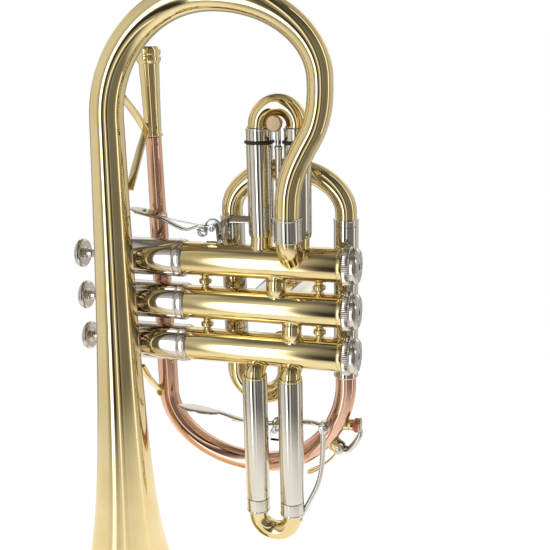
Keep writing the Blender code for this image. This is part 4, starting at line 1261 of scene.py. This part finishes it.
def build_finger_lever():
    """The finger lever under the third valve, its bracket between the slide tubes, and its spring."""
    x, z = FINGER_HINGE
    metal = "nickel_silver"
    shells = Shells()
    shells.plate(ear(x, z, 2.3, 2.4, z - 6.4), 2.8, 4.1, metal)
    shells.plate(ear(x, z, 2.3, 2.4, z - 6.4), 9.2, 10.6, metal)
    shells.strap(places([(x, -2.9, z - 5.6), (x, 0, z - 5.6), (x, 4.0, z - 5.7), (x, 10.4, z - 5.7)]),
                 [4.6, 5.0, 4.8, 4.0], 1.6, metal, flat=(1, 0, 0))
    shells.plate(ear(x, z - 1.2, 2.6, 2.6, z - 6.4), -2.9, 3.0, metal)
    shells.spun([(0, 0.05), (0, 1.05), (7.8, 1.05), (7.8, 0.05)], at(x, 2.8, z), (0, 1, 0), "spring_steel",
                sides=24)
    shells.screw(at(x, -2.9, z), (0, -1, 0), 1.9, 0.7)
    piece("finger_bracket", shells, "nickel_silver", "trigger3_post")

    shells = Shells()
    shells.turned([(0, 1.1), (0, 2.35), (4.3, 2.35), (4.3, 1.1)], at(x, 4.5, z), (0, 1, 0), metal, sides=40,
                  ease=0.25)
    arm = curve_through([(-60.0, 6.2, -66.5), (-48.0, 6.4, -67.7), (-36.0, 6.6, -69.3), (-24.0, 6.6, -72.1),
                         (-12.0, 6.6, -72.8), (x - 1.8, 6.6, z - 0.5)], 9)
    widths = [3.2 + 1.0 * math.sin(math.pi * i / (len(arm) - 1)) for i in range(len(arm))]
    shells.strap(arm, widths, 1.5, metal, squareness=0.7)
    pad = curve_through([(-62.2, 4.3, -65.9), (-56.0, 4.3, -66.4), (-50.0, 4.3, -66.9), (-44.0, 4.3, -67.6),
                         (-37.5, 4.3, -68.4)], 7)
    shells.strap(pad, oval(pad, 9.6), 1.3, metal, sides=32, squareness=0.8)
    eye_x, eye_z = FINGER_EYE
    beam = curve_through([(x + 1.8, 6.6, z + 0.6), (x + 10.0, 6.5, z + 2.0), (x + 18.0, 6.4, z + 2.7),
                          (eye_x - 1.5, 6.4, eye_z + 0.5)], 8)
    shells.strap(beam, 3.4, [2.6 - 0.5 * i / (len(beam) - 1) for i in range(len(beam))], metal,
                 squareness=0.6)
    shells.spun([(0, 0.05), (0, 2.8), (0.4, 3.2), (3.6, 3.2), (4.0, 2.8), (4.0, 0.05)], at(eye_x, 4.4, eye_z),
                (0, 1, 0), metal, sides=40, ease=0.15)
    wire = sizes().wire / MM
    coil = helix((x - 0.6, 9.0, z - 0.4), 3.3, 2.2, -1.4, (-30.0, 7.6, -73.6), (x + 9.0, 6.4, z + 0.2))
    shells.sweep(coil, wire, "spring_steel", sides=12, across=(0.2, 0.9, 0.3))
    piece("finger_lever", shells, "nickel_silver", "trigger3_lever")


def build_water_key():
    """The water key: saddle and pin on the bow, and the sprung lever with its red cork."""
    x, z = KEY_HINGE
    y = middle("leadpipe").y
    shells = Shells()
    for ear_y in (y - 3.4, y + 3.4):
        side = -1 if ear_y < y else 1
        post = curve_through([(x - 7.6, ear_y - 0.6 * side, z + 6.0), (x - 4.6, ear_y, z + 3.6),
                              (x, ear_y, z)], 5)
        shells.strap(post, [6.8 - 1.6 * i / (len(post) - 1) for i in range(len(post))], 1.8,
                     "lacquered_brass", flat=(0.62, 0, 0.78), squareness=0.6)
        shells.spun([(-0.9, 0.05), (-0.9, 2.7), (0.9, 2.7), (0.9, 0.05)], at(x, ear_y, z), (0, 1, 0),
                    "lacquered_brass", sides=32, ease=0.2)
    shells.spun([(0, 0.05), (0, 1.0), (8.4, 1.0), (8.4, 0.05)], at(x, y - 4.2, z), (0, 1, 0), "spring_steel",
                sides=24)
    shells.screw(at(x, y - 4.2, z), (0, -1, 0), 1.6, 0.6)
    piece("key_saddle", shells, "nickel_silver", "water_key_saddle")

    shells = Shells()
    shells.turned([(0, 1.1), (0, 2.3), (2.8, 2.3), (2.8, 1.1)], at(x, y - 1.4, z), (0, 1, 0),
                  "lacquered_brass", sides=40, ease=0.2)
    arm = curve_through([(x + 1.6, y, z - 1.2), (x + 5.5, y, z - 0.4), (x + 9.4, y, z + 4.4),
                         (43.2, y, -78.4), (43.4, y, -75.5)], 7)
    deep = [1.5 + 1.9 * math.sin(math.pi * i / (len(arm) - 1)) for i in range(len(arm))]
    shells.strap(arm, [4.6 + 2.2 * math.sin(math.pi * i / (len(arm) - 1)) for i in range(len(arm))], deep,
                 "nickel_silver", squareness=0.7)
    thumb = curve_through([(x - 1.0, y, z - 1.6), (x - 4.4, y, z - 7.2), (x - 11.0, y, z - 13.4),
                           (x - 18.0, y, z - 17.2)], 7)
    shells.strap(thumb, 2.8, 1.3, "lacquered_brass", squareness=0.7)
    pad = curve_through([(x - 9.0, y, z - 12.2), (x - 13.0, y, z - 15.0), (x - 16.5, y, z - 17.0),
                         (x - 19.4, y, z - 18.2)], 7)
    shells.strap(pad, oval(pad, 7.8), 1.2, "lacquered_brass", sides=28, squareness=0.8)
    face = NIPPLE_END + 0.5
    shells.turned([(2.3, 0.05), (2.3, 4.2), (2.6, 4.45), (3.4, 4.45), (3.8, 4.0), (3.8, 0.05)],
                  at(face, y, NIPPLE_Z), (1, 0, 0), "worn_nickel", sides=40, ease=0.15)
    shells.spun([(0.0, 0.05), (0.0, 3.7), (0.4, 4.1), (2.7, 4.1), (2.7, 0.05)], at(face, y, NIPPLE_Z),
                (1, 0, 0), "red_cork", sides=40, ease=0.2)
    wire = sizes().wire / MM
    for side in (-1, 1):
        coil = helix((x, y + side * 1.7, z), 2.75, 2.1, side * 0.8, (x - 6.2, y + side * 2.2, z + 3.2),
                     (x + 6.0, y + side * 1.2, z + 0.6))
        shells.sweep(coil, wire * 0.9, "spring_steel", sides=12, across=(0.2, 0.9, 0.3))
    piece("key_lever", shells, "nickel_silver", "water_key_lever")


# ---------------------------------------------------------------- stage


CAMERA_PLACE = (0.164489, -0.372523, 0.329798)
CAMERA_RIGHT = (0.96104954, 0.27546857, -0.02237961)
CAMERA_UP = (-0.05275174, 0.26231902, 0.96353826)
CAMERA_BACK = (0.27129511, -0.92482744, 0.26663302)
SENSOR_WIDTH = 36.0
DOME_RADIUS = 9.0
FLOOR_DROP = 0.0002
FLOOR_GLOW = 0.72
WARM_LIGHT = (1.0, 0.985, 0.95)
COOL_LIGHT = (0.90, 1.0, 1.16)

# Lit panels of the room: degrees round from the camera's side (right is positive), degrees up, half
# width and half height as a share of the distance, softness, and strength as a share of the key light. A
# flag is a dark panel, and its last number is how much of the room it hides.
PANELS = (
    (-34.5, -8.0, 0.095, 0.58, 0.05, 1.00),
    (-34.5, 24.0, 0.095, 0.40, 0.30, 0.25),
    (-92.0, 5.0, 0.78, 1.50, 0.25, 0.15),
    (-2.0, 5.0, 0.045, 1.20, 0.035, 0.40),
    (74.0, 15.0, 0.06, 1.10, 0.05, 0.52),
    (122.0, 10.0, 0.55, 1.50, 0.25, 0.10),
    (180.0, 21.0, 0.90, 0.28, 0.10, 0.24),
)
FLAGS = (
    (-20.0, 5.0, 0.11, 1.6, 0.05, 0.90),
    (11.0, 5.0, 0.07, 1.6, 0.04, 0.90),
    (42.0, 10.0, 0.42, 1.6, 0.12, 0.45),
)


def facing(turn, lift):
    """A direction from the object, given from the camera's side of the room."""
    ahead = math.atan2(CAMERA_BACK[1], CAMERA_BACK[0]) + math.radians(turn)
    rise = math.radians(lift)
    return Vector((math.cos(ahead) * math.cos(rise), math.sin(ahead) * math.cos(rise), math.sin(rise)))


def panel_mask(sight, turn, lift, half_wide, half_high, soft):
    """1 where a sight line meets a panel of the room, falling softly to 0 round it."""
    ahead = facing(turn, lift)
    right = Vector((0, 0, 1)).cross(ahead).normalized()
    up = ahead.cross(right)
    depth = sight.dot(ahead)
    near = depth.math("MAXIMUM", depth, 0.02)
    wide = abs(sight.dot(right) / near).eased(half_wide + soft, half_wide - soft)
    high = abs(sight.dot(up) / near).eased(half_high + soft, half_high - soft)
    return wide * high * depth.eased(0.02, 0.10)


def build_room_light():
    """Soft light from a plain room with tall lit panels round the object."""
    settings = stage_settings()
    world = bpy.data.worlds.new("Studio room")
    world.use_nodes = True
    bpy.context.scene.world = world
    recipe = Recipe(world.node_tree)
    sight = recipe.node("ShaderNodeTexCoord", out="Generated")
    height = sight.dot((0, 0, 1))
    light = settings.room - height.eased(0.30, 0.80) * (settings.room * 0.55)
    for turn, lift, wide, high, soft, dark in FLAGS:
        light = light * (1 - panel_mask(sight, turn, lift, wide, high, soft) * dark)
    light = light + height.eased(0.93, 0.97) * settings.top
    for turn, lift, wide, high, soft, strength in PANELS:
        light = light + panel_mask(sight, turn, lift, wide, high, soft) * (settings.key * strength)
    background = world.node_tree.nodes["Background"].inputs
    recipe.put(background["Strength"], light)
    cool = panel_mask(sight, *PANELS[0][:5])
    recipe.put(background["Color"], recipe.mix(WARM_LIGHT, COOL_LIGHT, cool))


def pale_floor():
    """Matt and pale under the object, fading out where nothing stands on it."""
    made, recipe, inputs = new_finish("pale_floor")
    grain = recipe.noise(14.0, 3.0, 0.5)
    tone = stage_settings().floor
    recipe.put(inputs["Base Color"], recipe.mix(tone, [c * 0.985 for c in tone], grain))
    spread = recipe.node("ShaderNodeVectorMath", {"operation": "LENGTH"}, {0: recipe.place()}, "Value")
    reach = stage_settings().floor_radius
    recipe.put(inputs["Alpha"], spread.eased(reach, reach * 0.25))
    inputs["Roughness"].default_value = 0.7
    inputs["Specular IOR Level"].default_value = 0.2
    inputs["Emission Color"].default_value = (1.0, 1.0, 1.0, 1.0)
    inputs["Emission Strength"].default_value = FLOOR_GLOW
    return made


def build_stage():
    """Floor, backdrop, light and camera."""
    settings = stage_settings()
    disc = bmesh.new()
    reach = settings.floor_radius / MM
    rim = circle(Vector((0, 0, -FLOOR_DROP)), Vector((1, 0, 0)), Vector((0, 1, 0)), reach, 96)
    disc.faces.new([disc.verts.new(p) for p in rim])
    mesh = bpy.data.meshes.new("floor")
    disc.to_mesh(mesh)
    disc.free()
    mesh.materials.append(pale_floor())
    floor = bpy.data.objects.new("floor", mesh)
    bpy.context.scene.collection.objects.link(floor)

    dome_mesh = bpy.data.meshes.new("backdrop")
    dome_shape = bmesh.new()
    bmesh.ops.create_icosphere(dome_shape, subdivisions=4, radius=DOME_RADIUS)
    dome_shape.to_mesh(dome_mesh)
    dome_shape.free()
    white = bpy.data.materials.new("white_backdrop")
    white.use_nodes = True
    inputs = white.node_tree.nodes["Principled BSDF"].inputs
    inputs["Base Color"].default_value = (0.0, 0.0, 0.0, 1.0)
    inputs["Specular IOR Level"].default_value = 0.0
    inputs["Emission Color"].default_value = (1.0, 1.0, 1.0, 1.0)
    inputs["Emission Strength"].default_value = 1.0
    dome_mesh.materials.append(white)
    dome = bpy.data.objects.new("backdrop", dome_mesh)
    bpy.context.scene.collection.objects.link(dome)
    for ray in ("diffuse", "glossy", "transmission", "shadow", "volume_scatter"):
        setattr(dome, f"visible_{ray}", False)

    build_room_light()
    camera = bpy.data.cameras.new("camera")
    camera.lens = settings.lens
    camera.sensor_width = SENSOR_WIDTH
    camera.clip_start, camera.clip_end = 0.01, 60.0
    eye = bpy.data.objects.new("camera", camera)
    columns = (CAMERA_RIGHT, CAMERA_UP, CAMERA_BACK, CAMERA_PLACE)
    rows = [[column[i] for column in columns] for i in range(3)] + [[0, 0, 0, 1]]
    eye.matrix_world = Matrix(rows)
    bpy.context.scene.collection.objects.link(eye)
    bpy.context.scene.camera = eye
    bpy.context.scene.view_settings.view_transform = "Standard"


# ---------------------------------------------------------------- operators


def make_finishes():
    """Every metal, and the rubber, cork, felt and nacre."""
    for maker in FINISH_MAKERS:
        maker()


class CORNET_OT_finishes(bpy.types.Operator):
    """Makes every metal, and the rubber, cork, felt and nacre."""

    bl_idname = "cornet.finishes"
    bl_label = "Finishes"

    def execute(self, context):
        make_finishes()
        return {"FINISHED"}


class CORNET_OT_bell(bpy.types.Operator):
    """Builds the spun bell with its rolled rim."""

    bl_idname = "cornet.bell"
    bl_label = "Bell"

    def execute(self, context):
        build_bell()
        return {"FINISHED"}


class CORNET_OT_crook(bpy.types.Operator):
    """Builds the crook, the bell tail, its collar and its elbow."""

    bl_idname = "cornet.crook"
    bl_label = "Crook and tail"

    def execute(self, context):
        build_crook()
        return {"FINISHED"}


class CORNET_OT_casings(bpy.types.Operator):
    """Builds the three casings and their balusters."""

    bl_idname = "cornet.casings"
    bl_label = "Casings"

    def execute(self, context):
        build_casings()
        return {"FINISHED"}


class CORNET_OT_caps(bpy.types.Operator):
    """Builds the knurled caps at both ends of each valve."""

    bl_idname = "cornet.caps"
    bl_label = "Caps"

    def execute(self, context):
        build_caps()
        return {"FINISHED"}


class CORNET_OT_valves(bpy.types.Operator):
    """Builds each piston and its finger button."""

    bl_idname = "cornet.valves"
    bl_label = "Valves"

    def execute(self, context):
        build_valves()
        return {"FINISHED"}


class CORNET_OT_passages(bpy.types.Operator):
    """Builds the turned posts and crossover passages between the casings."""

    bl_idname = "cornet.passages"
    bl_label = "Passages"

    def execute(self, context):
        build_passages()
        return {"FINISHED"}


class CORNET_OT_first_slide(bpy.types.Operator):
    """Builds the first slide with its knob and push rod."""

    bl_idname = "cornet.first_slide"
    bl_label = "First slide"

    def execute(self, context):
        build_first_slide()
        return {"FINISHED"}


class CORNET_OT_second_slide(bpy.types.Operator):
    """Builds the short slide behind the second valve."""

    bl_idname = "cornet.second_slide"
    bl_label = "Second slide"

    def execute(self, context):
        build_second_slide()
        return {"FINISHED"}


class CORNET_OT_third_slide(bpy.types.Operator):
    """Builds the third slide with its link rod."""

    bl_idname = "cornet.third_slide"
    bl_label = "Third slide"

    def execute(self, context):
        build_third_slide()
        return {"FINISHED"}


class CORNET_OT_tuning_slide(bpy.types.Operator):
    """Builds the main tuning slide and the return bow."""

    bl_idname = "cornet.tuning_slide"
    bl_label = "Tuning slide"

    def execute(self, context):
        build_tuning_slide()
        return {"FINISHED"}


class CORNET_OT_leadpipe(bpy.types.Operator):
    """Builds the leadpipe and the mouthpiece receiver."""

    bl_idname = "cornet.leadpipe"
    bl_label = "Leadpipe"

    def execute(self, context):
        build_leadpipe()
        return {"FINISHED"}


class CORNET_OT_front_bow(bpy.types.Operator):
    """Builds the rose-brass bow with the water key's nipple."""

    bl_idname = "cornet.front_bow"
    bl_label = "Front bow"

    def execute(self, context):
        build_front_bow()
        return {"FINISHED"}


class CORNET_OT_braces(bpy.types.Operator):
    """Builds the flat braces between bell, crook, leadpipe and front bow."""

    bl_idname = "cornet.braces"
    bl_label = "Braces"

    def execute(self, context):
        build_braces()
        return {"FINISHED"}


class CORNET_OT_thumb_lever(bpy.types.Operator):
    """Builds the thumb lever of the first slide, its post and its spring."""

    bl_idname = "cornet.thumb_lever"
    bl_label = "Thumb lever"

    def execute(self, context):
        build_thumb_lever()
        return {"FINISHED"}


class CORNET_OT_finger_lever(bpy.types.Operator):
    """Builds the finger lever of the third slide, its bracket and its spring."""

    bl_idname = "cornet.finger_lever"
    bl_label = "Finger lever"

    def execute(self, context):
        build_finger_lever()
        return {"FINISHED"}


class CORNET_OT_water_key(bpy.types.Operator):
    """Builds the water key with its saddle, springs and cork."""

    bl_idname = "cornet.water_key"
    bl_label = "Water key"

    def execute(self, context):
        build_water_key()
        return {"FINISHED"}


class CORNET_OT_stage(bpy.types.Operator):
    """Builds the floor, backdrop, light and camera."""

    bl_idname = "cornet.stage"
    bl_label = "Stage"

    def execute(self, context):
        build_stage()
        return {"FINISHED"}


OPERATORS = (
    CORNET_OT_finishes, CORNET_OT_bell, CORNET_OT_crook, CORNET_OT_casings, CORNET_OT_caps,
    CORNET_OT_valves, CORNET_OT_passages, CORNET_OT_first_slide, CORNET_OT_second_slide,
    CORNET_OT_third_slide, CORNET_OT_tuning_slide, CORNET_OT_leadpipe, CORNET_OT_front_bow,
    CORNET_OT_braces, CORNET_OT_thumb_lever, CORNET_OT_finger_lever, CORNET_OT_water_key, CORNET_OT_stage,
)


class CORNET_PT_parts(bpy.types.Panel):
    """Lists the cornet's builders and settings."""

    bl_label = "Cornet"
    bl_idname = "CORNET_PT_parts"
    bl_space_type = "VIEW_3D"
    bl_region_type = "UI"
    bl_category = "Cornet"

    def draw(self, context):
        for cls in OPERATORS:
            self.layout.operator(cls.bl_idname, text=cls.bl_label)
        for group in (context.scene.cornet_finishes, context.scene.cornet_sizes, context.scene.cornet_stage):
            box = self.layout.box()
            for key in group.bl_rna.properties.keys():
                if key not in ("rna_type", "name"):
                    box.prop(group, key)


GROUPS = {"cornet_finishes": CornetFinishes, "cornet_sizes": CornetSizes, "cornet_stage": CornetStage}
CLASSES = (*GROUPS.values(), *OPERATORS, CORNET_PT_parts)


def register():
    for cls in CLASSES:
        bpy.utils.register_class(cls)
    for name, cls in GROUPS.items():
        setattr(bpy.types.Scene, name, PointerProperty(type=cls))


def unregister():
    for name in GROUPS:
        delattr(bpy.types.Scene, name)
    for cls in reversed(CLASSES):
        bpy.utils.unregister_class(cls)


def main():
    register()
    for cls in OPERATORS:
        getattr(bpy.ops.cornet, cls.bl_idname.split(".")[1])()


if __name__ == "__main__":
    main()
